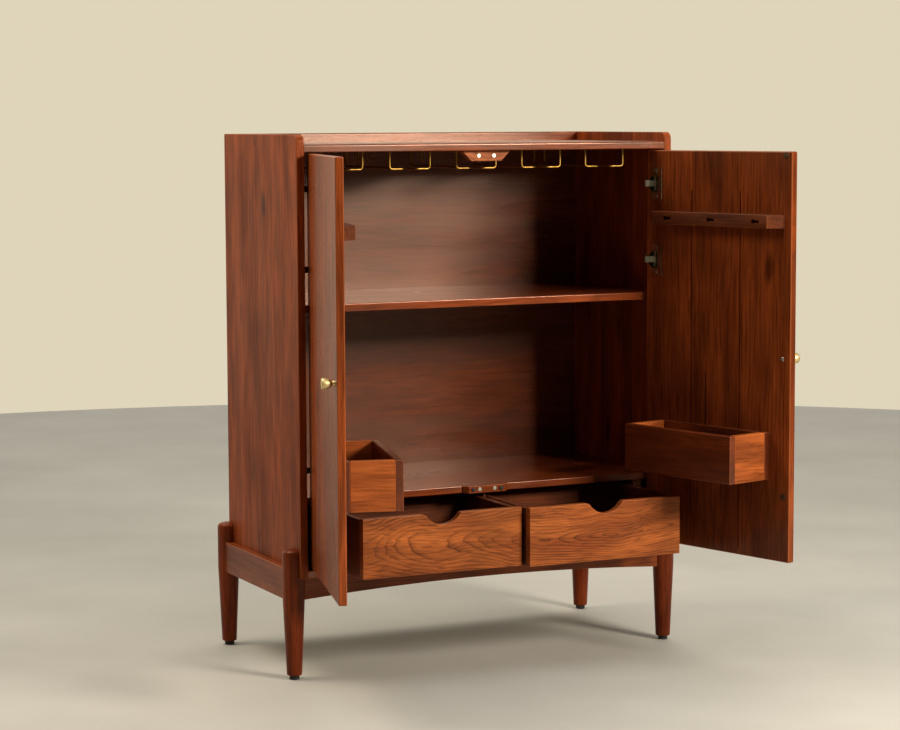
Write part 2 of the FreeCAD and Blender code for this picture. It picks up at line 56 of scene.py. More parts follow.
# %% [markdown]
# ## The camera
#
# The photograph was taken from the front left, a little above the cabinet's top, with a long lens, so
# upright lines stay nearly parallel. The camera could be aimed with a constraint. It is written instead
# as three directions, because a small roll has to be kept as well.

# %% Camera
PHOTO_WIDTH_PX = 900
FOCAL_PX = 2463.2
SENSOR_WIDTH_MM = 36.0
CAMERA_PLACE = (-2.0920, -4.3782, 1.0472)
CAMERA_YAW = math.radians(25.572)
CAMERA_DIP = math.radians(5.752)
CAMERA_ROLL = math.radians(-0.24)


def show(name, data):
    """A new object in the scene that shows a camera, a light or a mesh."""
    holder = bpy.data.objects.new(name, data)
    bpy.context.scene.collection.objects.link(holder)
    return holder


def standing(directions, place):
    """A matrix whose columns are three directions and a place."""
    matrix = np.eye(4)
    matrix[:3, :3] = np.stack(directions, axis=1)
    matrix[:3, 3] = place
    return Matrix(matrix.tolist())


def camera_directions(yaw, dip, roll):
    """Right, up and backward directions of a camera turned by yaw from +Y, dipped, then rolled."""
    ahead = np.array([math.sin(yaw) * math.cos(dip), math.cos(yaw) * math.cos(dip), -math.sin(dip)])
    level = np.array([math.cos(yaw), -math.sin(yaw), 0.0])
    up = np.cross(level, ahead)
    right = math.cos(roll) * level + math.sin(roll) * up
    return right, np.cross(right, ahead), -ahead


camera = show("camera", bpy.data.cameras.new("camera"))
camera.data.sensor_width = SENSOR_WIDTH_MM
camera.data.lens = FOCAL_PX * SENSOR_WIDTH_MM / PHOTO_WIDTH_PX
camera.matrix_world = standing(camera_directions(CAMERA_YAW, CAMERA_DIP, CAMERA_ROLL), CAMERA_PLACE)
bpy.context.scene.camera = camera
print("camera: lens %.1f mm" % camera.data.lens)

# %% [markdown]
# ## Colours and nodes
#
# Colours are picked as sRGB hex values, but shaders count light, so one function turns them to linear.
# Node trees get long when every node is set by hand. One small function adds a node with its settings
# and links, which keeps a material readable from the coordinates down to the shader.


# %% Colour and node helpers
def linear(hex_colour):
    """sRGB hex to linear RGBA: a straight foot below 0.04045, a 2.4 power above."""
    srgb = np.array([int(hex_colour[i:i + 2], 16) for i in (1, 3, 5)]) / 255
    light = np.where(srgb <= 0.04045, srgb / 12.92, ((srgb + 0.055) / 1.055) ** 2.4)
    return (*light.tolist(), 1.0)


def feed(tree, node, inputs):
    """Fill a node's inputs, by name or in order: an output is linked, any other value is set."""
    for key, value in inputs.items() if isinstance(inputs, dict) else enumerate(inputs):
        if isinstance(value, bpy.types.NodeSocket):
            tree.links.new(value, node.inputs[key])
        else:
            node.inputs[key].default_value = value


def add(tree, kind, inputs=(), output=0, **settings):
    """Add a shader node with its properties and inputs, and give one of its outputs."""
    node = tree.nodes.new("ShaderNode" + kind)
    for key, value in settings.items():
        setattr(node, key, value)
    feed(tree, node, inputs)
    return node.outputs[output]


def ramp(tree, factor, stops):
    """A colour ramp from a list of positions and colours."""
    colour = add(tree, "ValToRGB", (factor,), "Color")
    elements = colour.node.color_ramp.elements
    while len(elements) < len(stops):
        elements.new(1.0)
    for element, (position, shade) in zip(elements, stops):
        element.position = position
        element.color = shade
    return colour


def blotches(place, size, detail):
    """Inputs of a noise whose blotches have a real size: one light and one dark blotch to a turn."""
    return {"Vector": place, "Scale": 1 / size / 2, "Detail": detail}


def new_material(name):
    """An empty material and its Principled shader, already linked to the output."""
    material = bpy.data.materials.new(name)
    material.use_nodes = True
    return material, material.node_tree, material.node_tree.nodes["Principled BSDF"]


print("linear mid grey:", round(linear("#808080")[0], 3))

# %% [markdown]
# ## Lacquered hardwood
#
# The cabinet is a red-brown hardwood, planed, stained and sprayed with a satin lacquer. The eye sees
# glued planks that differ a little, soft streaks and clouds along the grain, growth rings that show as
# dark curling lines where a board was cut flat, rare knots, and short dark pores. A picture could carry
# this, but then every board would need its own. Here the figure is a solid: each board brings its own
# grain coordinates in metres, along, across and through the grain, and the rings are cylinders round a
# pith line below the board. End grain then shows arcs by itself, and the figure turns with a door.

# %% Wood: sizes in metres, shares and tones
PLANK_WIDTH = 0.127
PLANK_STEP = 0.37
PLANK_TONES = (0.78, 1.12)
PITH_SPREAD = (0.9, 0.07, 0.05)
PITH_PLACE = (0.0, -PITH_SPREAD[1] / 2, 0.035)
WANDER_SIZE = 0.06
WANDER_ALONG = 4
KNOT_RADIUS = 0.016
KNOT_CORE = KNOT_RADIUS / 5
KNOT_SHAPE = (0.42, 1.0, 0.0)
KNOT_WOBBLE = (0.03, 0.012, 0.0)
KNOT_SWELL = (0.0, 0.0, 0.03)
KNOT_SWELL_RADIUS = 3 * KNOT_RADIUS
KNOT_SHADE = 0.75
# Noise values lie mostly between these two.
NOISE_RANGE = (0.3, 0.7)
STREAK_ALONG = 0.13
STREAK_STOPS = (0.28, 0.68)
# A wave texture makes this many turns over one unit at scale 1.
WAVE_TURNS = 20 / (2 * math.pi)
RING_ALONG = 0.15
RING_BEND = {"Distortion": 7, "Detail": 3, "Detail Scale": 0.35, "Detail Roughness": 0.55}
RING_STOPS = ((0.0, 0.35), (0.14, 0.0), (0.55, 0.08), (0.9, 0.5), (0.97, 1.0))
RING_PATCH_SIZE = 1 / 44
CLOUD_SIZE = 0.016
CLOUD_ALONG = 0.3
CLOUD_TONES = (0.74, 1.24)
PORE_WIDTH = 0.0016
PORE_ALONG = 0.03
PORE_STOPS = ((0.36, (0.42, 0.36, 0.33, 1.0)), (0.52, (1.0, 1.0, 1.0, 1.0)))
PORE_SHADE = 0.7
PORE_RELIEF = 0.0002
# The colour that eased edges are lightened towards: partly wear, partly a painted highlight along every arris.
WORN_AND_HIGHLIT_ARRIS = "#B8683A"
WORN_AND_HIGHLIT_SHARE = 0.35
GLOSS_STOPS = (0.2, 0.8)
GLOSS_DRIFT = (0.07, -0.06)
LACQUER_IOR = 1.5
# Old lacquer is amber, so what it mirrors straight on comes back warm.
LACQUER_TINT = "#FFDCC8"
print("planks are %.0f mm wide, pores %.1f mm" % (PLANK_WIDTH * 1000, PORE_WIDTH * 1000))


# %% Wood: the solid figure
def wood(name, early, late, line="#260C05", ring_width=0.009, ring_share=0.5, tilt=14, curl=0.008,
         streak_width=0.022, roughness=0.34, sheen=0.28):
    """Solid wood: planks, streaks, rings about a pith tilted by some degrees, knots, clouds and pores,
    under lacquer. Without further values it is straight-grained, with faint rings and a satin coat."""
    material, tree, shader = new_material(name)
    grain, from_knot = (add(tree, "Attribute", (), "Vector", attribute_name=key) for key in ("grain", "knot"))
    board, wear_and_highlight = (add(tree, "Attribute", (), "Fac", attribute_name=key) for key in ("board", "worn_and_highlit"))

    # Each glued plank is a board of its own: a number per plank moves its figure and its tone.
    across = add(tree, "SeparateXYZ", (grain,), "Y")
    plank = add(tree, "Math", (across, PLANK_WIDTH), operation="DIVIDE")
    plank = add(tree, "Math", (plank,), operation="ROUND")
    number = add(tree, "Math", (plank, PLANK_STEP, board), operation="MULTIPLY_ADD")
    chance = add(tree, "TexWhiteNoise", {"W": number}, "Value", noise_dimensions="1D")
    chances = chance.node.outputs["Color"]
    moved = add(tree, "VectorMath", (chances, PITH_SPREAD, grain), operation="MULTIPLY_ADD")

    # The grain wanders, and it flows round a knot where the board has one.
    wander = add(tree, "TexNoise", blotches(moved, WANDER_SIZE, 1), "Color")
    sway = (WANDER_ALONG * curl, curl, curl)
    moved = add(tree, "VectorMath", (wander, sway, moved), operation="MULTIPLY_ADD")
    from_knot = add(tree, "VectorMath", (wander, KNOT_WOBBLE, from_knot), operation="MULTIPLY_ADD")
    from_knot = add(tree, "VectorMath", (from_knot, KNOT_SHAPE), operation="MULTIPLY")
    distance = add(tree, "VectorMath", (from_knot,), "Value", operation="LENGTH")
    knot, swell = (add(tree, "MapRange", (distance, near, far, 1, 0), interpolation_type="SMOOTHSTEP")
                   for near, far in ((KNOT_CORE, KNOT_RADIUS), (0, KNOT_SWELL_RADIUS)))
    swollen = add(tree, "VectorMath", (swell, KNOT_SWELL, moved), operation="MULTIPLY_ADD")

    # Streaks, clouds and pores are noise drawn out along the grain.
    ways = [add(tree, "Mapping", {"Vector": moved, "Scale": (along, 1, 1)})
            for along in (STREAK_ALONG, CLOUD_ALONG, PORE_ALONG)]
    streak = add(tree, "TexNoise", blotches(ways[0], streak_width, 3), "Fac")
    cloud = add(tree, "TexNoise", blotches(ways[1], CLOUD_SIZE, 2), "Fac")
    pores = add(tree, "TexNoise", blotches(ways[2], PORE_WIDTH, 2), "Fac")
    body = ramp(tree, streak, list(zip(STREAK_STOPS, (linear(late), linear(early)))))

    # Rings: a saw wave of the distance from the pith, bent by noise; the late wood is the dark line.
    pith = add(tree, "Mapping", (swollen, PITH_PLACE, (0, math.radians(tilt), 0), (RING_ALONG, 1, 1)))
    rings = add(tree, "TexWave", {"Vector": pith, "Scale": 1 / (WAVE_TURNS * ring_width), **RING_BEND}, "Fac",
                wave_type="RINGS", rings_direction="X", wave_profile="SAW")
    dark_line = ramp(tree, rings, [(stop, (tone, tone, tone, 1)) for stop, tone in RING_STOPS])
    patch = add(tree, "TexNoise", blotches(pith, RING_PATCH_SIZE, 1), "Fac")
    strength = add(tree, "MapRange", (patch, *NOISE_RANGE, ring_share / 3, ring_share))
    share = add(tree, "Math", (dark_line, strength), operation="MULTIPLY")
    body = add(tree, "MixRGB", (share, body, linear(line)))
    knot_share = add(tree, "Math", (knot, KNOT_SHADE), operation="MULTIPLY")
    body = add(tree, "MixRGB", (knot_share, body, linear(line)))

    # Plank tone, clouds of darker wood, pores, and arrises lightened partly for wear and partly as a painted
    # highlight.
    tone = add(tree, "MapRange", (chance, 0, 1, *PLANK_TONES))
    mottle = add(tree, "MapRange", (cloud, *NOISE_RANGE, *CLOUD_TONES))
    shade = add(tree, "Math", (tone, mottle), operation="MULTIPLY")
    body = add(tree, "MixRGB", (1, body, shade), blend_type="MULTIPLY")
    body = add(tree, "MixRGB", (PORE_SHADE, body, ramp(tree, pores, PORE_STOPS)), blend_type="MULTIPLY")
    # Painted highlight and wear: the middle of every rounded edge is mixed towards the lighter colour.
    wear_and_highlight_share = add(tree, "Math", (wear_and_highlight, WORN_AND_HIGHLIT_SHARE), operation="MULTIPLY")
    body = add(tree, "MixRGB", (wear_and_highlight_share, body, linear(WORN_AND_HIGHLIT_ARRIS)))

    drift = [roughness + change for change in GLOSS_DRIFT]
    gloss = add(tree, "MapRange", (streak, *GLOSS_STOPS, *drift), interpolation_type="SMOOTHSTEP")
    relief = add(tree, "Bump", {"Height": pores, "Strength": 0.25, "Distance": PORE_RELIEF})
    feed(tree, shader, {"Base Color": body, "Roughness": gloss, "Normal": relief, "IOR": LACQUER_IOR,
                        "Specular IOR Level": sheen, "Specular Tint": linear(LACQUER_TINT)})
    return material


# %% Wood: the finishes
# Satin lacquer over straight-grained boards: red brown, streaked, with faint rings and rare knots.
case_wood = wood("satin_lacquered_hardwood", "#8A421C", "#5E270F")
# The outer sides: the same boards, rubbed back until little of the gloss was left.
side_wood = wood("rubbed_back_side", "#8E421A", "#60270E", streak_width=0.026, roughness=0.38, sheen=0.10)
# The doors: the same boards under a fuller coat, so they mirror more at a low angle.
door_wood = wood("full_lacquer_door", "#8A421C", "#5E270F", roughness=0.27, sheen=0.3)
# The left door: a copy of the door finish painted paler, as painted light where its outer face catches the fill.
lit_door_wood = wood("lit_copy_full_lacquer_door", "#A45023", "#702F13", roughness=0.27, sheen=0.27)
# Flat-sawn boards chosen for show: orange brown, with dark curling rings close together.
show_wood = wood("figured_hardwood_front", "#B6652F", "#803D18", ring_width=0.0046, ring_share=1.0, tilt=52,
                 curl=0.034, streak_width=0.020, roughness=0.42, sheen=0.24)
# Ends of the bins: orange brown like the fronts, but straight-grained, with fainter rings.
end_wood = wood("figured_bin_end", "#AE5C2A", "#7A3917", "#3A1408", ring_share=0.35, curl=0.012,
                streak_width=0.012, roughness=0.42, sheen=0.24)
# Tool rails, and boards inside the drawers and the bins: the same wood with less lacquer.
inner_wood = wood("oiled_inner_hardwood", "#6E361B", "#48200F", "#240C05", ring_width=0.010, ring_share=0.35,
                  tilt=10, curl=0.004, streak_width=0.016, roughness=0.48, sheen=0.25)
# The back panel and the long boards of the bins: darker stock, whose lacquer shows a broad pale sheen.
dark_wood = wood("dark_lacquered_back", "#662C10", "#421908", "#1C0803", ring_share=0.2, tilt=12, curl=0.010,
                 streak_width=0.045, roughness=0.30, sheen=0.82)
# The legs: red stock with a closer gloss.
leg_wood = wood("turned_dark_hardwood", "#843818", "#58200C", "#1E0904", ring_share=0.35, curl=0.006,
                streak_width=0.018, roughness=0.28, sheen=0.17)
# The top and the shelves are rubbed smoother, so they mirror what stands behind them at a low angle.
shelf_wood = wood("rubbed_lacquer_shelf", "#8A401C", "#5E270F", roughness=0.22, sheen=0.75)
# The shaded right door keeps the darker copy; the left door takes the one painted lighter.
door_woods = {"left": lit_door_wood, "right": door_wood}
print("wood: straight in", case_wood.name, "and figured in", show_wood.name)

# %% [markdown]
# ## Metals and rubber
#
# The knobs and hangers are drawn and turned brass, a little dull from handling. The hinges are pressed
# steel with nickel plate. The magnets are plated too, and the strike plates are bronzed so that they
# vanish on the dark wood. The bumpers and glides are black rubber. Each finish gets its dullness and
# colour shift from a noise at the scale of handling marks, so none is a single flat colour.

# %% Metals and rubber
MARK_STOPS = (0.35, 0.65)


def fine_finish(name, light, dark, roughness, mark_size=0.004, spread=0.10, bump=0.00003, metallic=1.0):
    """A plain finish whose colour and dullness drift between two values over marks of a real size."""
    material, tree, shader = new_material(name)
    place = add(tree, "TexCoord", (), "Object")
    marks = add(tree, "TexNoise", {**blotches(place, mark_size, 6), "Roughness": 0.65}, "Fac")
    colour = ramp(tree, marks, list(zip(MARK_STOPS, (linear(dark), linear(light)))))
    dull = add(tree, "MapRange", (marks, 0, 1, roughness + spread, roughness - spread))
    relief = add(tree, "Bump", {"Height": marks, "Strength": 0.2, "Distance": bump})
    feed(tree, shader, {"Base Color": colour, "Roughness": dull, "Normal": relief, "Metallic": metallic})
    return material


# Wire dulled by handling: a thin soft line of yellow light.
brass = fine_finish("turned_brass", "#B08C45", "#86652A", 0.42, bump=0.00005)
# Pale brushed brass, whose broad highlight keeps the small knobs in sight.
satin_brass = fine_finish("satin_turned_brass", "#E6D3A0", "#C8AC70", 0.45, spread=0.08, bump=0.00004)
# Warm grey plate that picks up the red of the wood around it.
nickel = fine_finish("nickel_plated_steel", "#B9B39C", "#8A846E", 0.32, mark_size=0.005, spread=0.08)
# Bright plate: the lightest points of the inside.
bright_steel = fine_finish("plated_magnet", "#C9C6BE", "#9A978F", 0.42, mark_size=0.002, spread=0.06,
                           bump=0.00002)
# Brown and dull, hardly lighter than the wood.
bronzed = fine_finish("bronzed_steel", "#6A5844", "#41352A", 0.45, mark_size=0.003)
# Black without a gloss.
rubber = fine_finish("black_rubber", "#1A1918", "#0C0C0B", 0.62, mark_size=0.002, bump=0.00008,
                     metallic=0.0)
fine_finishes = (brass, satin_brass, nickel, bright_steel, bronzed, rubber)
print("fine finishes:", [finish.name for finish in fine_finishes])

# %% [markdown]
# ## Floor and studio light
#
# A pale matt floor carries the soft shadows. The key light stands in front, a little to the right and
# above, so the open right door shades the right of the inside, as it does in the photograph. A weak
# light from the left lifts the outer side, and an even one from straight above reaches only level faces.
# An even world would fill the inside with light, so the world is pale only behind the cabinet, where the
# lacquer reflects it at a low angle, and dark in front. As a backdrop it is pale on every side.

# %% Floor
FLOOR_RADIUS = 4.2
FLOOR_RINGS = 6
FLOOR_STEPS = 128
FLOOR_BLOTCH = 1 / 6
FLOOR_TONES = ("#A7A6A0", "#B0AFA9")


def ring_faces(rows, columns):
    """Quads between the rings of a grid that closes on itself along its columns."""
    row = np.arange(rows - 1)[:, None] * columns
    here = np.arange(columns)[None]
    then = (here + 1) % columns
    return np.stack([row + here, row + then, row + columns + then, row + columns + here], -1).reshape(-1, 4)


def floor_disc(radius, rings, steps):
    """A flat round floor: r(cos a, sin a, 0) on evenly spaced rings, with one point in the middle."""
    angle = np.linspace(0, 2 * math.pi, steps, endpoint=False)
    reach = np.linspace(0, radius, rings + 1)[1:, None]
    ring_places = np.dstack([reach * np.cos(angle), reach * np.sin(angle), np.zeros((rings, steps))])
    here = np.arange(steps)
    fan = np.stack([np.full(steps, rings * steps), here, (here + 1) % steps], 1)
    faces = ring_faces(rings, steps)[:, ::-1].tolist() + fan.tolist()
    return np.concatenate([ring_places.reshape(-1, 3), np.zeros((1, 3))]), faces


floor_material, floor_tree, floor_shader = new_material("pale_matt_floor")
floor_place = add(floor_tree, "TexCoord", (), "Object")
floor_noise = add(floor_tree, "TexNoise", blotches(floor_place, FLOOR_BLOTCH, 4), "Fac")
floor_colour = ramp(floor_tree, floor_noise, list(zip(NOISE_RANGE, map(linear, FLOOR_TONES))))
feed(floor_tree, floor_shader, {"Base Color": floor_colour, "Roughness": 0.6, "Specular IOR Level": 0.15})
floor_mesh = bpy.data.meshes.new("studio_floor")
floor_places, floor_faces = floor_disc(FLOOR_RADIUS, FLOOR_RINGS, FLOOR_STEPS)
floor_mesh.from_pydata(floor_places.tolist(), [], floor_faces)
floor_mesh.materials.append(floor_material)
studio_floor = show("studio_floor", floor_mesh)
print("floor:", len(floor_faces), "faces")

# %% Lights and world
LIGHT_AIM = np.array([0.0, 0.0, 0.55])
KEY_PLACE = (1.17, -2.60, 1.62)
KEY_SIZE = (0.8, 0.6)
KEY_WATTS = 112
FILL_PLACE = (-1.4, 0.4, 2.3)
FILL_SIZE = (1.0, 1.0)
FILL_WATTS = 32
TOP_STRENGTH = 1.5
TOP_SPREAD = math.radians(60)
SKY_FRONT = 0.08
SKY_REAR = 0.9
SKY_TURN = (-0.2, 0.6)


def area_light(name, place, size, watts, colour):
    """A soft box at a place, turned so that its -Z axis points at the aim and its height stays upright."""
    lamp = bpy.data.lights.new(name, "AREA")
    lamp.shape = "RECTANGLE"
    lamp.size, lamp.size_y = size
    lamp.energy = watts
    lamp.color = linear(colour)[:3]
    back = np.asarray(place, float) - LIGHT_AIM
    back /= np.linalg.norm(back)
    side = np.cross((0.0, 0.0, 1.0), back)
    side /= np.linalg.norm(side)
    show(name, lamp).matrix_world = standing((side, np.cross(back, side), back), place)


area_light("key_light", KEY_PLACE, KEY_SIZE, KEY_WATTS, "#FFF2E0")
area_light("left_fill", FILL_PLACE, FILL_SIZE, FILL_WATTS, "#FFEBD0")
top_lamp = bpy.data.lights.new("top_light", "SUN")
top_lamp.energy = TOP_STRENGTH
top_lamp.angle = TOP_SPREAD
show("top_light", top_lamp)

world = bpy.data.worlds.new("pale_studio")
world.use_nodes = True
bpy.context.scene.world = world
sky_tree = world.node_tree
rearward = add(sky_tree, "SeparateXYZ", (add(sky_tree, "TexCoord", (), "Generated"),), "Y")
sky_turn = (rearward, *SKY_TURN, SKY_FRONT, SKY_REAR)
sky_glow = add(sky_tree, "MapRange", sky_turn, interpolation_type="SMOOTHSTEP")
in_sight = add(sky_tree, "LightPath", (), "Is Camera Ray")
backdrop = add(sky_tree, "Math", (in_sight, SKY_REAR), operation="MULTIPLY")
sky_strength = add(sky_tree, "Math", (sky_glow, backdrop), operation="MAXIMUM")
feed(sky_tree, sky_tree.nodes["Background"], {"Strength": sky_strength, "Color": linear("#EADFC4")})
bpy.context.scene.view_settings.view_transform = "Standard"
print("key light at", KEY_PLACE)

# %% [markdown]
# ## Measuring the frame
#
# A door lies open in the frame, at a slant, so its box says little. Turned back about its hinge it is
# square again. Pieces on a door are therefore measured and made shut, then swung open at the end.


# %% Boxes in the shut pose
def swing(points, body, share):
    """Turn points about a body's hinge by a share of its travel: 1 shuts the open door, -1 opens it."""
    points = np.asarray(points, float)
    if body not in hinges:
        return points
    joint = hinges[body]
    angle = math.radians(joint["range_deg"][0]) * joint["axis"][2] * share
    cos, sin = math.cos(angle), math.sin(angle)
    turn = np.array([[cos, -sin, 0], [sin, cos, 0], [0, 0, 1]])
    pole = np.array(joint["pos_m"])
    return (points - pole) @ turn.T + pole


def shut_box(node):
    """Lowest and highest corner of a node with its door shut, in metres."""
    mesh = frame["nodes"][node].data
    places = np.empty(len(mesh.vertices) * 3, np.float32)
    mesh.vertices.foreach_get("co", places)
    places = swing(places.reshape(-1, 3), body_of[node], 1)
    return places.min(0), places.max(0)


door_low, door_high = shut_box("left_door_panel")
print("shut door: %.1f x %.1f mm" % tuple((door_high - door_low)[[0, 2]] * 1000))

# %% [markdown]
# ## Boards with eased edges
#
# Nearly every piece is a planed board whose sharp edges were eased with sandpaper, and that small round
# is what catches the light. A cube with a bevel would do for the plain ones, but not for a scooped
# drawer front or a bored door. So a board is an outline carried through its thickness: each ring of the
# grid is the outline drawn in by r(1 - cos a) at a height that follows r sin a. Corners of the outline
# are arcs too. The outward direction of every ring is known, so shading needs no guess.

# %% Outlines
ROUND_STEPS = 3
TIGHT_TURN = 1.7
LARGE_ROUND = 0.006
SAME_PLACE = 1e-6


def rounded_loop(corners, radii):
    """An outline with arcs at its corners: centre + signed radius x a direction that turns evenly from
    the outward normal of the edge before the corner to that of the edge after it. Where one arc starts at
    the end of the last, the doubled point is left out."""
    corners = np.asarray(corners, float)
    come = corners - np.roll(corners, 1, 0)
    go = np.roll(corners, -1, 0) - corners
    come /= np.linalg.norm(come, axis=1, keepdims=True)
    go /= np.linalg.norm(go, axis=1, keepdims=True)
    turn = np.arctan2(come[:, 0] * go[:, 1] - come[:, 1] * go[:, 0], (come * go).sum(1))
    signed = np.broadcast_to(radii, turn.shape) * np.sign(turn)
    outward = np.stack([come[:, 1], -come[:, 0]], 1)
    start = corners - come * (signed * np.tan(turn / 2))[:, None]
    centre = start - outward * signed[:, None]
    # A tight turn or a large arc shows its facets sooner, so such an outline takes more steps.
    steps = ROUND_STEPS * (2 if np.abs(turn).max() > TIGHT_TURN else 1)
    steps *= 3 if np.max(radii) >= LARGE_ROUND else 1
    angle = np.arctan2(outward[:, 1], outward[:, 0])[:, None] + turn[:, None] * np.linspace(0, 1, steps + 1)
    facing = np.stack([np.cos(angle), np.sin(angle)], -1)
    places = (centre[:, None] + signed[:, None, None] * facing).reshape(-1, 2)
    apart = np.linalg.norm(places - np.roll(places, 1, 0), axis=1) > SAME_PLACE
    return places[apart], facing.reshape(-1, 2)[apart]


def round_loop(centre, radius, steps):
    """A circle: centre + radius x (cos a, sin a)."""
    angle = np.linspace(0, 2 * math.pi, steps, endpoint=False)
    facing = np.stack([np.cos(angle), np.sin(angle)], -1)
    return np.asarray(centre) + radius * facing, facing


def box_loop(low, high, radii):
    """A rectangle from its low and high corner, with rounded corners, anticlockwise from the low one."""
    corners = [(low[0], low[1]), (high[0], low[1]), (high[0], high[1]), (low[0], high[1])]
    return rounded_loop(corners, radii)


print("a small rounded corner takes", ROUND_STEPS + 1, "points")

# %% Boards
EASED = 0.0018
FINE_EASED = EASED / 2
HAIR_EASED = EASED / 3
PLAIN_ARRIS = 0.0012
DIRECTIONS = {"x": 0, "y": 1, "z": 2}
UP = (0.0, 0.0, 1.0)
DOWN = (0.0, 0.0, -1.0)


def scatter(rows, axes):
    """Move the three columns of an array of points to the directions named by the axes letters."""
    moved = np.empty_like(rows)
    moved[:, [DIRECTIONS[letter] for letter in axes]] = rows
    return moved


def plate(loop, span, axes, arris, hollows=()):
    """A board: rings of the outline, drawn in by arris(1 - cos a) and raised by arris sin a at both faces,
    with flat ends. Each hollow is an outline sunk into the upper face by a depth. The three axes letters
    say which way the outline's two directions and the thickness run."""
    outline, outward = loop
    count = len(outline)
    steps = ROUND_STEPS + 1
    lean = np.radians([np.linspace(-90, 0, steps), np.linspace(0, 90, steps)]).reshape(-1, 1)
    level = np.repeat([span[0] + arris, span[1] - arris], steps)[:, None] + arris * np.sin(lean)
    drawn_in = outline - outward * (arris * (1 - np.cos(lean)))[:, :, None]
    rings = np.dstack([drawn_in, level.repeat(count, 1)]).reshape(-1, 3)
    facing = np.dstack([outward * np.cos(lean)[:, :, None], np.sin(lean).repeat(count, 1)]).reshape(-1, 3)
    quads = ring_faces(2 * steps, count)
    top = np.arange(len(rings) - count, len(rings))
    places = [rings]
    faces = quads.tolist() + [np.arange(count)[::-1].tolist()]
    normals = [facing[quads].reshape(-1, 3), np.tile(DOWN, (count, 1))]
    rims = [top]
    used = len(rings)
    for (rim, rim_facing), depth in hollows:
        size = len(rim)
        upper = np.c_[rim, np.full(size, span[1])]
        places += [upper - (0, 0, depth), upper]
        wall = ring_faces(2, size)[:, ::-1] + used
        inward = np.tile(np.c_[-rim_facing, np.zeros(size)], (2, 1))
        faces += wall.tolist() + [(np.arange(size) + used).tolist()]
        normals += [inward[wall - used].reshape(-1, 3), np.tile(UP, (size, 1))]
        rims.append(np.arange(size) + used + size)
        used += 2 * size
    places = np.concatenate(places)
    if hollows:
        # The upper face runs round the hollows, so it is cut into triangles that all look up.
        triangles = np.concatenate(rims)[np.array(tessellate_polygon([places[rim].tolist() for rim in rims]))]
        corner = places[triangles][:, :, :2]
        first, second = corner[:, 1] - corner[:, 0], corner[:, 2] - corner[:, 0]
        upright = first[:, 0] * second[:, 1] > first[:, 1] * second[:, 0]
        lid = np.where(upright[:, None], triangles, triangles[:, ::-1])
    else:
        lid = top[None]
    faces += lid.tolist()
    normals.append(np.tile(UP, (lid.size, 1)))
    # Each rounded edge is marked most at its middle, for wear and for a painted highlight.
    worn_and_highlit = np.zeros(len(places))
    worn_and_highlit[:len(rings)] = np.repeat(np.abs(np.sin(2 * lean)), count)
    normals = scatter(np.concatenate(normals), axes)
    return {"places": scatter(places, axes), "faces": faces, "normals": normals, "worn_and_highlit": worn_and_highlit}


def board_between(low, high, axes, radii=EASED, arris=PLAIN_ARRIS, hollows=()):
    """A square board from its low and high corner: the outline lies across the first two axes letters."""
    first, second, depth = (DIRECTIONS[letter] for letter in axes)
    loop = box_loop((low[first], low[second]), (high[first], high[second]), radii)
    return plate(loop, (low[depth], high[depth]), axes, arris, hollows)


def board_pair(node, between, way, arris=PLAIN_ARRIS):
    """The two upright boards of a node: its box, less the width that another node fills between them."""
    low, high = shut_box(node)
    first_high, second_low = high.copy(), low.copy()
    axis = DIRECTIONS[way]
    first_high[axis], second_low[axis] = (corner[axis] for corner in shut_box(between))
    return [board_between(*corners, "yzx", arris=arris)
            for corners in ((low, first_high), (second_low, high))]


print("a plain board has", len(board_between(door_low, door_high, "zxy")["places"]), "points")

# %% [markdown]
# ## From surfaces to pieces
#
# A piece is one object that stands for one CAD node, rides on the node's body and takes its finish slot.
# Here it also gets its grain coordinates: along the grain, then the wider of the other two ways, then
# the thinner, measured from the board's middle. They are taken with the doors shut, before the swing. A
# board with a knot also stores how far each point lies from it.

# %% Pieces
SHARP_EDGE = math.radians(32)
# Each further board of a piece draws its own figure: its number is higher by this step.
BOARD_STEP = 0.1
# A knot so far away that no board shows it.
NO_KNOT = (9.0, 9.0, 9.0)
made = []


def grain_order(places, along):
    """A board's middle, and the order of its directions: along the grain, across the width, through."""
    low, high = places.min(0), places.max(0)
    first = DIRECTIONS[along]
    others = sorted({0, 1, 2} - {first}, key=lambda way: low[way] - high[way])
    return (low + high) / 2, [first] + others


def store(mesh, name, rows):
    """Keep a number or a vector for every point of a mesh under a name that materials can read."""
    kind, field = ("FLOAT", "value") if rows.ndim == 1 else ("FLOAT_VECTOR", "vector")
    mesh.attributes.new(name, kind, "POINT").data.foreach_set(field, rows.astype(np.float32).ravel())


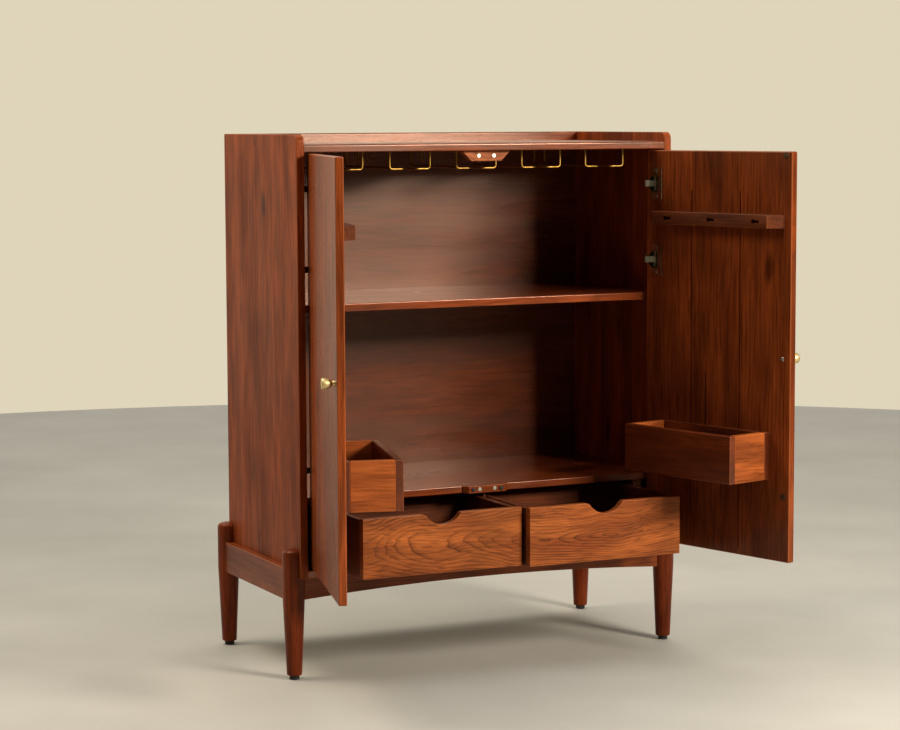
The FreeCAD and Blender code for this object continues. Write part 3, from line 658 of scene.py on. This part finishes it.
def piece(name, body, parts, finish, along="z", shift=(0, 0, 0), knot=NO_KNOT):
    """One object from several surfaces; where a surface has no normals of its own, sharp edges are found."""
    sizes = [len(part["places"]) for part in parts]
    shut = np.concatenate([part["places"] for part in parts])
    faces = [[corner + start for corner in face]
             for part, start in zip(parts, np.cumsum([0] + sizes)) for face in part["faces"]]
    mesh = bpy.data.meshes.new(name)
    mesh.from_pydata(swing(shut, body, -1).tolist(), [], faces)
    mesh.materials.append(finish)
    boards = [(part["places"], *grain_order(part["places"], along)) for part in parts]
    grain = [(places - middle)[:, order] + shift for places, middle, order in boards]
    store(mesh, "grain", np.concatenate(grain))
    store(mesh, "knot", np.concatenate([(places - knot)[:, order] for places, middle, order in boards]))
    store(mesh, "board", np.repeat(len(made) + BOARD_STEP * np.arange(len(parts)), sizes))
    store(mesh, "worn_and_highlit", np.concatenate([part["worn_and_highlit"] for part in parts]))
    if all(part["normals"] is not None for part in parts):
        normals = np.concatenate([part["normals"] for part in parts])
        mesh.normals_split_custom_set((swing(normals, body, -1) - swing(np.zeros(3), body, -1)).tolist())
    else:
        mesh.set_sharp_from_angle(angle=SHARP_EDGE)
    obj = show(name, mesh)
    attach(obj, body)
    made.append(name)
    return obj


def dress(node, parts, finish, along="z", **more):
    """The finished piece that stands for a node: it rides on the node's body and takes its slot."""
    obj = piece(node + "_finished", body_of[node], parts, finish, along, **more)
    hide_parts(node)


print("pieces are named for their nodes, with the ending _finished")

# %% [markdown]
# ## The carcass
#
# Two side panels rise above the top as a low gallery, with a round front corner. The top board lies
# between them with a rounded nosing, and shelf, deck and floor have eased front edges. Each is an
# outline of the board's end, carried along its length, so the nosing is simply a larger corner arc.

# %% Carcass boards
ARRIS = 0.0014
TOP_NOSING = 0.004
GALLERY_ROUND = 0.003
SIDE_CORNER = 0.014
SIDE_KNOTS = {"left": (-0.396, -0.016, 0.895), "right": (0.396, 0.040, 0.420)}
EDGE_ROUNDS = {
    "top_board": (EASED, EASED, EASED, TOP_NOSING),
    "rear_gallery": (EASED, EASED, GALLERY_ROUND, GALLERY_ROUND),
    "middle_shelf": EASED,
    "drawer_deck": EASED,
    "carcass_floor": EASED,
}

for side, knot in SIDE_KNOTS.items():
    node = side + "_side_panel"
    panel = board_between(*shut_box(node), "yzx", (EASED, EASED, GALLERY_ROUND, SIDE_CORNER), ARRIS)
    dress(node, [panel], side_wood, knot=knot)
for node, radii in EDGE_ROUNDS.items():
    dress(node, [board_between(*shut_box(node), "yzx", radii, HAIR_EASED)], shelf_wood, "x")
dress("back_panel", [board_between(*shut_box("back_panel"), "zxy")], dark_wood, "x")
for node in ("left_bay_partition", "right_bay_partition", "drawer_divider"):
    dress(node, [board_between(*shut_box(node), "yzx", arris=FINE_EASED)], inner_wood, "y")
print("carcass:", len(made), "boards")

# %% [markdown]
# ## Turned surfaces
#
# Legs, knobs, glides, magnets, strike plates, bumpers and screws are all profiles carried round an axis.
# The profile lists radius and height from one pole to the other, so the ends close by themselves.

# %% Turned surfaces
TURN_STEPS = 40
EDGE_STEPS = 6
# The rings of a flat face start at this share of its radius.
FACE_SHARE = 0.8
FACE_STEPS = 5


def close_poles(rings, low_pole, high_pole):
    """Faces of stacked rings closed by a fan at each pole, and all their points."""
    rows, columns = rings.shape[:2]
    places = np.concatenate([rings.reshape(-1, 3), [low_pole, high_pole]])
    here = np.arange(columns)
    then = (here + 1) % columns
    last = (rows - 1) * columns
    below = np.stack([np.full(columns, rows * columns), then, here], 1)
    above = np.stack([np.full(columns, rows * columns + 1), last + here, last + then], 1)
    faces = ring_faces(rows, columns).tolist() + below.tolist() + above.tolist()
    return {"places": places, "faces": faces, "normals": None, "worn_and_highlit": np.zeros(len(places))}


def turned_part(profile, axes, centre, facing=1, steps=TURN_STEPS):
    """A profile of radius and height carried round an axis: centre + r(cos a, sin a) + height. Facing -1
    points the heights the other way."""
    profile = np.asarray(profile, float)
    if facing < 0:
        profile = profile[::-1] * (1, -1)
    angle = np.linspace(0, 2 * math.pi, steps, endpoint=False)
    inner = profile[1:-1]
    rings = np.dstack([inner[:, :1] * np.cos(angle), inner[:, :1] * np.sin(angle),
                       np.broadcast_to(inner[:, 1:], (len(inner), steps))])
    part = close_poles(rings, (0, 0, profile[0, 1]), (0, 0, profile[-1, 1]))
    part["places"] = scatter(part["places"], axes) + centre
    return part


def quarter_round(radius, height, edge, steps):
    """Profile of a rounded upper edge: radius - edge(1 - cos a) and height - edge(1 - sin a)."""
    quarter = np.radians(np.linspace(0, 90, steps))
    return np.c_[radius - edge * (1 - np.cos(quarter)), height - edge * (1 - np.sin(quarter))]


def flat_face(radius, height, steps):
    """Profile of a flat face from some way in to its middle."""
    return np.c_[radius * np.linspace(FACE_SHARE, 0, steps), np.full(steps, height)]


def disc_profile(radius, height, edge):
    """A disc from its foot to its top: an upright wall, a quarter-round edge and a flat face."""
    rim = quarter_round(radius, height, edge, EDGE_STEPS)
    return [(0, 0), (radius, 0), *rim, *flat_face(radius - edge, height, FACE_STEPS)]


def discs(node, axes, radius, edge, facing=-1):
    """The equal discs of a node: one in each corner of its box, or in the middle of a side as wide as one
    disc. The last of the axes letters is the way they face."""
    low, high = shut_box(node)
    depth = DIRECTIONS[axes[2]]
    rows = [(low[way] + radius, high[way] - radius) if high[way] - low[way] > 2 * radius + SAME_PLACE
            else ((low[way] + high[way]) / 2,) for way in DIRECTIONS.values()]
    rows[depth] = (high[depth] if facing < 0 else low[depth],)
    profile = disc_profile(radius, high[depth] - low[depth], edge)
    return [turned_part(profile, axes, centre, facing) for centre in itertools.product(*rows)]


print("a turned disc takes", TURN_STEPS, "steps round its axis")

# %% [markdown]
# ## The base frame
#
# The legs are turned: round above, tapered below. Their tops are cut away so that a round-shouldered
# tongue clasps the side panel. A boolean cut would work, but the shape has a formula: a turned surface
# whose outward coordinate, above the shoulder, isn't allowed past the notch plane. The aprons are boards
# with one very wide arc in their lower edge.

# %% Legs, rails, aprons and glides
LEG_FOOT_RADIUS = 0.0145
LEG_STRAIGHT = 0.036
LEG_STEPS = 48
LEG_EDGE_STEPS = 9
FOOT_ROUND = 0.002
NOTCH_STEP = 0.0002
TOP_ROUND = 0.009
TOP_CROWN = 0.002
CROWN_SHARES = np.linspace(1, 0, 6)[1:]
APRON_RISE = 0.013
APRON_ROUND_SHARE = 0.96
GLIDE_RADIUS = 0.0095
GLIDE_ROUND = 0.0015


def leg_surface(low, high, side, shoulder, notch_reach):
    """A turned leg: radius by height, about an upright axis; above the shoulder the outward coordinate
    r cos a is held at or beyond the notch plane."""
    radius = (high[1] - low[1]) / 2
    centre = np.array([low[0] + radius if side < 0 else high[0] - radius, (low[1] + high[1]) / 2])
    foot = quarter_round(LEG_FOOT_RADIUS, 0, FOOT_ROUND, LEG_EDGE_STEPS)[::-1] * (1, -1) + (0, low[2])
    post = [(radius, shoulder - LEG_STRAIGHT), (radius, shoulder), (radius, shoulder + NOTCH_STEP)]
    brow = quarter_round(radius, high[2] - TOP_CROWN, TOP_ROUND, LEG_EDGE_STEPS)
    crown = np.c_[(radius - TOP_ROUND) * CROWN_SHARES, high[2] - TOP_CROWN * CROWN_SHARES ** 2]
    leg = turned_part([(0, low[2]), *foot, *post, *brow, *crown], "xyz", (0, 0, 0), 1, LEG_STEPS)
    places = leg["places"]
    notched = places[:, 2] > shoulder
    places[notched, 0] = np.maximum(places[notched, 0], -notch_reach)
    places[:, :2] = centre + side * places[:, :2]
    return leg


panel_low, panel_high = shut_box("right_side_panel")
for depth in ("front", "rear"):
    for hand, side in (("left", -1), ("right", 1)):
        node = "%s_%s_leg" % (depth, hand)
        low, high = shut_box(node)
        reach = max(high[0], -low[0]) - (high[1] - low[1]) / 2 - panel_high[0]
        dress(node, [leg_surface(low, high, side, panel_low[2], reach)], leg_wood)
for node in ("left_side_rail", "right_side_rail"):
    dress(node, [board_between(*shut_box(node), "yzx", arris=ARRIS)], case_wood, "y")
for node in ("front_apron", "rear_apron"):
    low, high = shut_box(node)
    half = (high[0] - low[0]) / 2
    arch = (half ** 2 + APRON_RISE ** 2) / (2 * APRON_RISE)
    tip = low[2] + half * math.tan(2 * math.atan(APRON_RISE / half))
    outline = [(low[2], low[0]), (high[2], low[0]), (high[2], high[0]), (low[2], high[0]), (tip, 0.0)]
    loop = rounded_loop(outline, (EASED, EASED, EASED, EASED, arch * APRON_ROUND_SHARE))
    dress(node, [plate(loop, (low[1], high[1]), "zxy", ARRIS)], case_wood, "x")

dress("foot_glides", discs("foot_glides", "xyz", GLIDE_RADIUS, GLIDE_ROUND), rubber)
print("base frame:", len(made), "pieces so far")

# %% [markdown]
# ## The drawers
#
# Each drawer front is a show board with a scooped finger cut-out. The scoop is an arc between two round
# shoulders, so its outline needs only three corners: where the slanted tangents meet the top edge, and
# where they meet each other below. Sides, back and bottom are plain boards behind it.

# %% Drawers
SCOOP_WIDTH = 0.083
SCOOP_DEPTH = 0.021
SCOOP_SHOULDER = 0.010
FRONT_EASED = 0.0014
FRONT_ARRIS = 0.0011


def scooped_loop(low, high):
    """Outline in height and width of a drawer front: the scoop's tangents lean by the angle at which the
    line between the shoulder's centre and the scoop's centre leans."""
    middle = (low[0] + high[0]) / 2
    half = SCOOP_WIDTH / 2
    centres = (half ** 2 + SCOOP_DEPTH ** 2) / (2 * SCOOP_DEPTH)
    lean = math.atan2(half, centres - SCOOP_DEPTH)
    shoulder = half - SCOOP_SHOULDER * math.tan(lean / 2)
    foot = high[2] - shoulder * math.tan(lean)
    outline = [(low[2], low[0]), (high[2], low[0]), (high[2], middle - shoulder), (foot, middle),
               (high[2], middle + shoulder), (high[2], high[0]), (low[2], high[0])]
    scoop = (SCOOP_SHOULDER, centres - SCOOP_SHOULDER, SCOOP_SHOULDER)
    return rounded_loop(outline, (FRONT_EASED, FRONT_EASED, *scoop, FRONT_EASED, FRONT_EASED))


for hand in ("left", "right"):
    front, sides, back, bottom = (hand + "_drawer_" + part for part in ("front", "sides", "back", "bottom"))
    low, high = shut_box(front)
    dress(front, [plate(scooped_loop(low, high), (low[1], high[1]), "zxy", FRONT_ARRIS)], show_wood, "x")
    dress(sides, board_pair(sides, back, "x"), inner_wood, "y")
    dress(back, [board_between(*shut_box(back), "zxy", arris=FINE_EASED)], inner_wood, "x")
    dress(bottom, [board_between(*shut_box(bottom), "xyz", arris=HAIR_EASED)], inner_wood, "x")
print("drawers:", len(made), "pieces so far")

# %% [markdown]
# ## The doors
#
# A door is three planks glued side by side. On the inner face the two glue lines have opened into dark
# seams, and three bores take the hinge cups. Seams and bores are hollows of real depth in one board, so
# light falls into them at any angle. The tool rail is a board whose ends are held back by a slanted
# plane, which makes its bevels, and its keyholes are hollows too.

# %% Door shapes
DOOR_EASED = 0.003
DOOR_ARRIS = 0.0024
SEAMS_FROM_HINGE = (0.122, 0.249)
SEAM_WIDTH = 0.0028
SEAM_DEPTH = 0.004
SEAM_TOP_DROP = 0.076
SEAM_FOOT = 0.012
# Each short seam: its distance from the hinge edge, its foot and its head.
SHORT_SEAMS = {"left": [], "right": [(0.161, 0.400, 0.556)]}
DOOR_KNOTS = {"left": (-0.250, -0.188, 0.560), "right": (0.063, -0.188, 0.779)}
CUP_BORE_RADIUS = 0.0176
CUP_BORE_DEPTH = 0.012
CUP_BORE_STEPS = 48
CUP_FLANGE_HEIGHT = 0.062
MIDDLE_HINGE_RISE = 0.066
RAIL_BEVEL = 0.022
KEYHOLE_RADIUS = 0.0045
KEYHOLE_SLOT = 0.005
KEYHOLE_LENGTH = 0.015
KEYHOLE_DEPTH = 0.012
KEYHOLE_STEPS = 20
KEYHOLE_SPACING_SHARE = 0.383
# The way along x from a door's hinge edge to its free edge.
door_sides = {"left": 1, "right": -1}


def hinge_heights(hand):
    """The heights of a door's three hinges: the outer two from the cups' box, one above the middle shelf."""
    low, high = shut_box(hand + "_hinge_cups")
    half = CUP_FLANGE_HEIGHT / 2
    return [low[2] + half, shut_box("middle_shelf")[1][2] + MIDDLE_HINGE_RISE, high[2] - half]


def keyhole_loop(centre, way):
    """A round hole with a slot to one side, in height and width: an arc left open by the slot's width."""
    open_angle = math.asin(KEYHOLE_SLOT / 2 / KEYHOLE_RADIUS)
    angle = np.linspace(open_angle, 2 * math.pi - open_angle, KEYHOLE_STEPS)
    hole = KEYHOLE_RADIUS * np.stack([np.sin(angle), np.cos(angle)], -1)[::-1]
    slot = [(KEYHOLE_SLOT / 2, KEYHOLE_LENGTH), (-KEYHOLE_SLOT / 2, KEYHOLE_LENGTH)]
    outline = np.concatenate([hole, slot]) * (1, way)
    if way < 0:
        outline = outline[::-1]
    return outline + centre, outline / np.linalg.norm(outline, axis=1, keepdims=True)


def door_leaf(hand, way):
    """A door panel with its hollows: three cup bores, two long seams and any short ones."""
    low, high = shut_box(hand + "_door_panel")
    hinge_edge = low[0] if way > 0 else high[0]
    cup_low, cup_high = shut_box(hand + "_hinge_cups")
    cup_x = (cup_low[0] + cup_high[0]) / 2
    hollows = [(round_loop((z, cup_x), CUP_BORE_RADIUS, CUP_BORE_STEPS), CUP_BORE_DEPTH)
               for z in hinge_heights(hand)]
    seams = [(distance, low[2] + SEAM_FOOT, high[2] - SEAM_TOP_DROP) for distance in SEAMS_FROM_HINGE]
    for distance, foot, head in seams + SHORT_SEAMS[hand]:
        x = hinge_edge + way * distance
        seam = box_loop((foot, x - SEAM_WIDTH / 2), (head, x + SEAM_WIDTH / 2), SEAM_WIDTH / 4)
        hollows.append((seam, SEAM_DEPTH))
    return board_between(low, high, "zxy", DOOR_EASED, DOOR_ARRIS, hollows)


def tool_rail(hand, way):
    """A board with three keyholes, whose ends are held back by bevel x share of the depth."""
    low, high = shut_box(hand + "_tool_rail")
    middle = (low + high) / 2
    spacing = (high[0] - low[0] - 2 * RAIL_BEVEL) * KEYHOLE_SPACING_SHARE
    keyholes = [(keyhole_loop((middle[2], middle[0] + step * spacing), way), KEYHOLE_DEPTH)
                for step in (-1, 0, 1)]
    rail = board_between(low, high, "zxy", FRONT_EASED, FRONT_EASED / 2, keyholes)
    reach = (high[0] - low[0]) / 2 - RAIL_BEVEL * (rail["places"][:, 1] - low[1]) / (high[1] - low[1])
    rail["places"][:, 0] = middle[0] + np.clip(rail["places"][:, 0] - middle[0], -reach, reach)
    rail["normals"] = None
    return rail


print("hinge heights of the right door:", np.round(hinge_heights("right"), 3).tolist())

# %% Door panels, tool rails and bins
for hand, way in door_sides.items():
    low, high = shut_box(hand + "_door_panel")
    # The grain is moved sideways so that its planks meet at the seams.
    shift = (0, way * ((high[0] - low[0]) / 2 - sum(SEAMS_FROM_HINGE) / 2), 0)
    dress(hand + "_door_panel", [door_leaf(hand, way)], door_woods[hand], shift=shift, knot=DOOR_KNOTS[hand])
    dress(hand + "_tool_rail", [tool_rail(hand, way)], inner_wood, "x")
    long_board, end, base = (hand + "_bin_" + part for part in ("long_boards", "ends", "floor"))
    dress(long_board, board_pair(long_board, end, "y"), dark_wood, "x")
    dress(end, board_pair(end, base, "x", FINE_EASED), end_wood, "y")
    dress(base, [board_between(*shut_box(base), "xyz", arris=HAIR_EASED)], inner_wood, "x")
print("doors:", len(made), "pieces so far")

# %% [markdown]
# ## Hinges and their screws
#
# The hinge arms, plates, cups and pins keep their CAD shapes and only take the nickel finish. Their
# screws are too small for the CAD model: a pan head is a low dome, and its cross recess is the same dome
# pressed down where either coordinate is within half a slot of the middle. Each cup flange also gets the
# thin bar of its spring clip on the free side, which shows as a bright upright line beside the dark cup.

# %% Hinge finish and screws
SCREW_RADIUS = 0.0036
SCREW_HEIGHT = 0.0011
SCREW_RIM_SHARE = 0.25
SCREW_RINGS = 14
SCREW_STEPS = 48
CROSS_HALF_WIDTH = 0.0006
CROSS_REACH = 0.0024
CROSS_DEPTH = 0.0009
CUP_SCREW_SPREAD = 0.024
CUP_SCREW_OUT = 0.0055
PLATE_SCREW_SPREAD = 0.0105
ARM_THICKNESS = 0.0018
CLIP_BAR = 0.0012
CLIP_BAR_OUT = 0.0192

for hand in door_sides:
    for part in ("hinge_arms", "hinge_plates", "hinge_cups", "hinge_pins"):
        frame["nodes"][hand + "_" + part].material_slots[0].material = nickel
frame["nodes"]["shelf_pins"].material_slots[0].material = nickel


def screw_head(axes, centre, facing, radius=SCREW_RADIUS):
    """A pan head: a rim, then a height of (1 - s^4) for s from rim to middle, less a cross-shaped recess."""
    share = np.linspace(1, 0, SCREW_RINGS)
    height = SCREW_HEIGHT * (SCREW_RIM_SHARE + (1 - SCREW_RIM_SHARE) * (1 - share ** 4))
    part = turned_part([(0, 0), *np.c_[radius * share, height]], "xyz", (0, 0, 0), 1, SCREW_STEPS)
    places = part["places"]
    size = radius / SCREW_RADIUS
    beside = np.minimum(np.abs(places[:, 0]), np.abs(places[:, 1])) < CROSS_HALF_WIDTH * size
    within = np.hypot(places[:, 0], places[:, 1]) < CROSS_REACH * size
    raised = places[:, 2] > SCREW_HEIGHT / 2
    places[:, 2] -= np.where(beside & within & raised, CROSS_DEPTH, 0)
    if facing < 0:
        places[:, 1:] *= -1
    part["places"] = scatter(places, axes) + centre
    return part


for hand, way in door_sides.items():
    low, high = shut_box(hand + "_hinge_cups")
    x = (low[0] + high[0]) / 2 + way * CUP_SCREW_OUT
    heads = [screw_head("zxy", (x, high[1], z + step), 1)
             for z in hinge_heights(hand) for step in (-CUP_SCREW_SPREAD, CUP_SCREW_SPREAD)]
    screws = piece(hand + "_hinge_cup_screws", hand + "_door", heads, nickel)
    low, high = shut_box(hand + "_hinge_plates")
    face = high[0] if way > 0 else low[0]
    y = (low[1] + high[1]) / 2
    heads = [screw_head("yzx", (face, y, z + step), way)
             for z in hinge_heights(hand) for step in (-PLATE_SCREW_SPREAD, PLATE_SCREW_SPREAD)]
    heads += [screw_head("yzx", (face + way * ARM_THICKNESS, y, z), way) for z in hinge_heights(hand)]
    screws = piece(hand + "_hinge_plate_screws", "carcass", heads, nickel)

for hand, way in door_sides.items():
    low, high = shut_box(hand + "_hinge_cups")
    x = (low[0] + high[0]) / 2 + way * CLIP_BAR_OUT
    half = np.array([CLIP_BAR / 2, CLIP_BAR, CUP_FLANGE_HEIGHT / 2])
    centres = [np.array([x, high[1], z]) for z in hinge_heights(hand)]
    bars = [board_between(centre - half, centre + half, "xyz", CLIP_BAR / 4, CLIP_BAR / 5)
            for centre in centres]
    lip = piece(hand + "_hinge_flange_lips", hand + "_door", bars, nickel)
print("hinge screws and clip bars:", len(made), "pieces so far")

# %% [markdown]
# ## Knobs, strikes and catches
#
# The knob is a turned cone that widens to a flat face. Its screw shows on the inner side of the door.
# The strike plates on the doors meet magnets in two wooden catch blocks, and rubber bumpers beside the
# lower magnets quiet the doors.

# %% Knobs and strikes
KNOB_LENGTH = 0.024
KNOB_FACE = 0.010
KNOB_FOOT = 0.005
KNOB_NECK = 0.0042
KNOB_COLLAR = 0.0025
KNOB_HEAD = 0.011
KNOB_ROUND = 0.0018
KNOB_STEPS = 56
KNOB_WAIST_STEPS = 10
KNOB_EDGE_STEPS = 7
KNOB_FACE_STEPS = 4
KNOB_SCREW_RADIUS = 0.0042
STRIKE_RADIUS = 0.006
STRIKE_EDGE = 0.0005


def knob_profile():
    """Radius and height of the knob from its foot: collar, a waist that follows a cosine, cone, head."""
    wave = np.linspace(0, math.pi, KNOB_WAIST_STEPS)
    waist = np.c_[KNOB_NECK + (KNOB_FOOT - KNOB_NECK) * (1 + np.cos(wave)) / 2,
                  KNOB_COLLAR + KNOB_COLLAR * wave / math.pi]
    shoulder = (KNOB_FACE - KNOB_ROUND / 5, KNOB_LENGTH - KNOB_HEAD)
    rim = quarter_round(KNOB_FACE, KNOB_LENGTH, KNOB_ROUND, KNOB_EDGE_STEPS)
    face = flat_face(KNOB_FACE - KNOB_ROUND, KNOB_LENGTH, KNOB_FACE_STEPS)
    return [(0, 0), (KNOB_FOOT, 0), *waist, shoulder, *rim, *face]


for hand in door_sides:
    low, high = shut_box(hand + "_door_knob")
    leaf_low, leaf_high = shut_box(hand + "_door_panel")
    x, z = (low[0] + high[0]) / 2, (low[2] + high[2]) / 2
    knob = turned_part(knob_profile(), "zxy", (x, leaf_low[1], z), -1, KNOB_STEPS)
    dress(hand + "_door_knob", [knob], satin_brass)
    head = screw_head("zxy", (x, leaf_high[1], z), 1, KNOB_SCREW_RADIUS)
    screw = piece(hand + "_knob_screw", hand + "_door", [head], bright_steel)
    strikes = hand + "_strike_discs"
    dress(strikes, discs(strikes, "zxy", STRIKE_RADIUS, STRIKE_EDGE, 1), bronzed)
print("knobs and strikes:", len(made), "pieces so far")

# %% Catches
BOTTOM_BEVEL = 0.011
MAGNET_RADIUS = 0.004
MAGNET_EDGE = 0.0006
BUMPER_RADIUS = 0.004
BUMPER_EDGE = 0.0012

low, high = shut_box("top_catch_block")
bevel = high[2] - low[2]
outline = [(low[2], low[0] + bevel), (high[2], low[0]), (high[2], high[0]), (low[2], high[0] - bevel)]
block = plate(rounded_loop(outline, EASED), (low[1], high[1]), "zxy", FINE_EASED)
dress("top_catch_block", [block], show_wood, "x")
low, high = shut_box("bottom_catch_block")
outline = [(low[0] + BOTTOM_BEVEL, low[1]), (high[0] - BOTTOM_BEVEL, low[1]), high[:2], (low[0], high[1])]
block = plate(rounded_loop(outline, EASED), (low[2], high[2]), "xyz", FINE_EASED)
dress("bottom_catch_block", [block], case_wood, "x")

dress("catch_magnets", discs("catch_magnets", "zxy", MAGNET_RADIUS, MAGNET_EDGE), bright_steel)
dress("catch_bumpers", discs("catch_bumpers", "zxy", BUMPER_RADIUS, BUMPER_EDGE), rubber)
print("catches:", len(made), "pieces so far")

# %% [markdown]
# ## Stemware hangers
#
# Each hanger is a pair of bent brass wires: down from the top, in to a slot, back along it and up again.
# A curve with a bevel would draw it. As a numpy surface it is a circle carried along the route: the two
# directions across the wire come from one fixed leaning direction, with its part along the wire removed.

# %% Stemware hangers
HANGERS = 5
WIRE_RADIUS = 0.002
HANGER_SLOT = 0.024
WIRE_BEND = 0.006
WIRE_SIDES = 14
BEND_STEPS = 8
LEANING = np.array([0.48, 0.60, 0.64])


def bent_route(corners, radius):
    """A route whose square corners are arcs: centre - radius x go cos a + radius x come sin a, where come
    and go are the directions before and after the corner."""
    corners = np.asarray(corners, float)
    before, here, after = corners[:-2], corners[1:-1], corners[2:]
    come = (here - before) / np.linalg.norm(here - before, axis=1, keepdims=True)
    go = (after - here) / np.linalg.norm(after - here, axis=1, keepdims=True)
    angle = np.linspace(0, math.pi / 2, BEND_STEPS)[None, :, None]
    centre = here - come * radius + go * radius
    arcs = centre[:, None] - go[:, None] * radius * np.cos(angle) + come[:, None] * radius * np.sin(angle)
    return np.concatenate([corners[:1], arcs.reshape(-1, 3), corners[-1:]])


def wire(route, radius):
    """A tube: route + radius(cos a N + sin a B), where N is the leaning direction less its part along the
    route and B is square to both. Flat ends close it."""
    ahead = np.gradient(route, axis=0)
    ahead /= np.linalg.norm(ahead, axis=1, keepdims=True)
    across = LEANING - ahead * (ahead @ LEANING)[:, None]
    across /= np.linalg.norm(across, axis=1, keepdims=True)
    beside = np.cross(ahead, across)
    angle = np.linspace(0, 2 * math.pi, WIRE_SIDES, endpoint=False)[None, :, None]
    rings = route[:, None] + radius * (np.cos(angle) * across[:, None] + np.sin(angle) * beside[:, None])
    return close_poles(rings, route[0], route[-1])


for number in range(1, HANGERS + 1):
    node = "stemware_hanger_%d" % number
    low, high = shut_box(node)
    middle = (low[0] + high[0]) / 2
    level, front_y, rear_y = low[2] + WIRE_RADIUS, low[1] + WIRE_RADIUS, high[1] - WIRE_RADIUS
    wires = []
    for side in (-1, 1):
        mouth = middle + side * ((high[0] - low[0]) / 2 - WIRE_RADIUS)
        slot_x = middle + side * HANGER_SLOT / 2
        route = [(mouth, front_y, high[2]), (mouth, front_y, level), (slot_x, front_y, level),
                 (slot_x, rear_y, level), (slot_x, rear_y, high[2])]
        wires.append(wire(bent_route(route, WIRE_BEND), WIRE_RADIUS))
    dress(node, wires, brass)
print("hangers:", HANGERS, "pieces in all:", len(made))
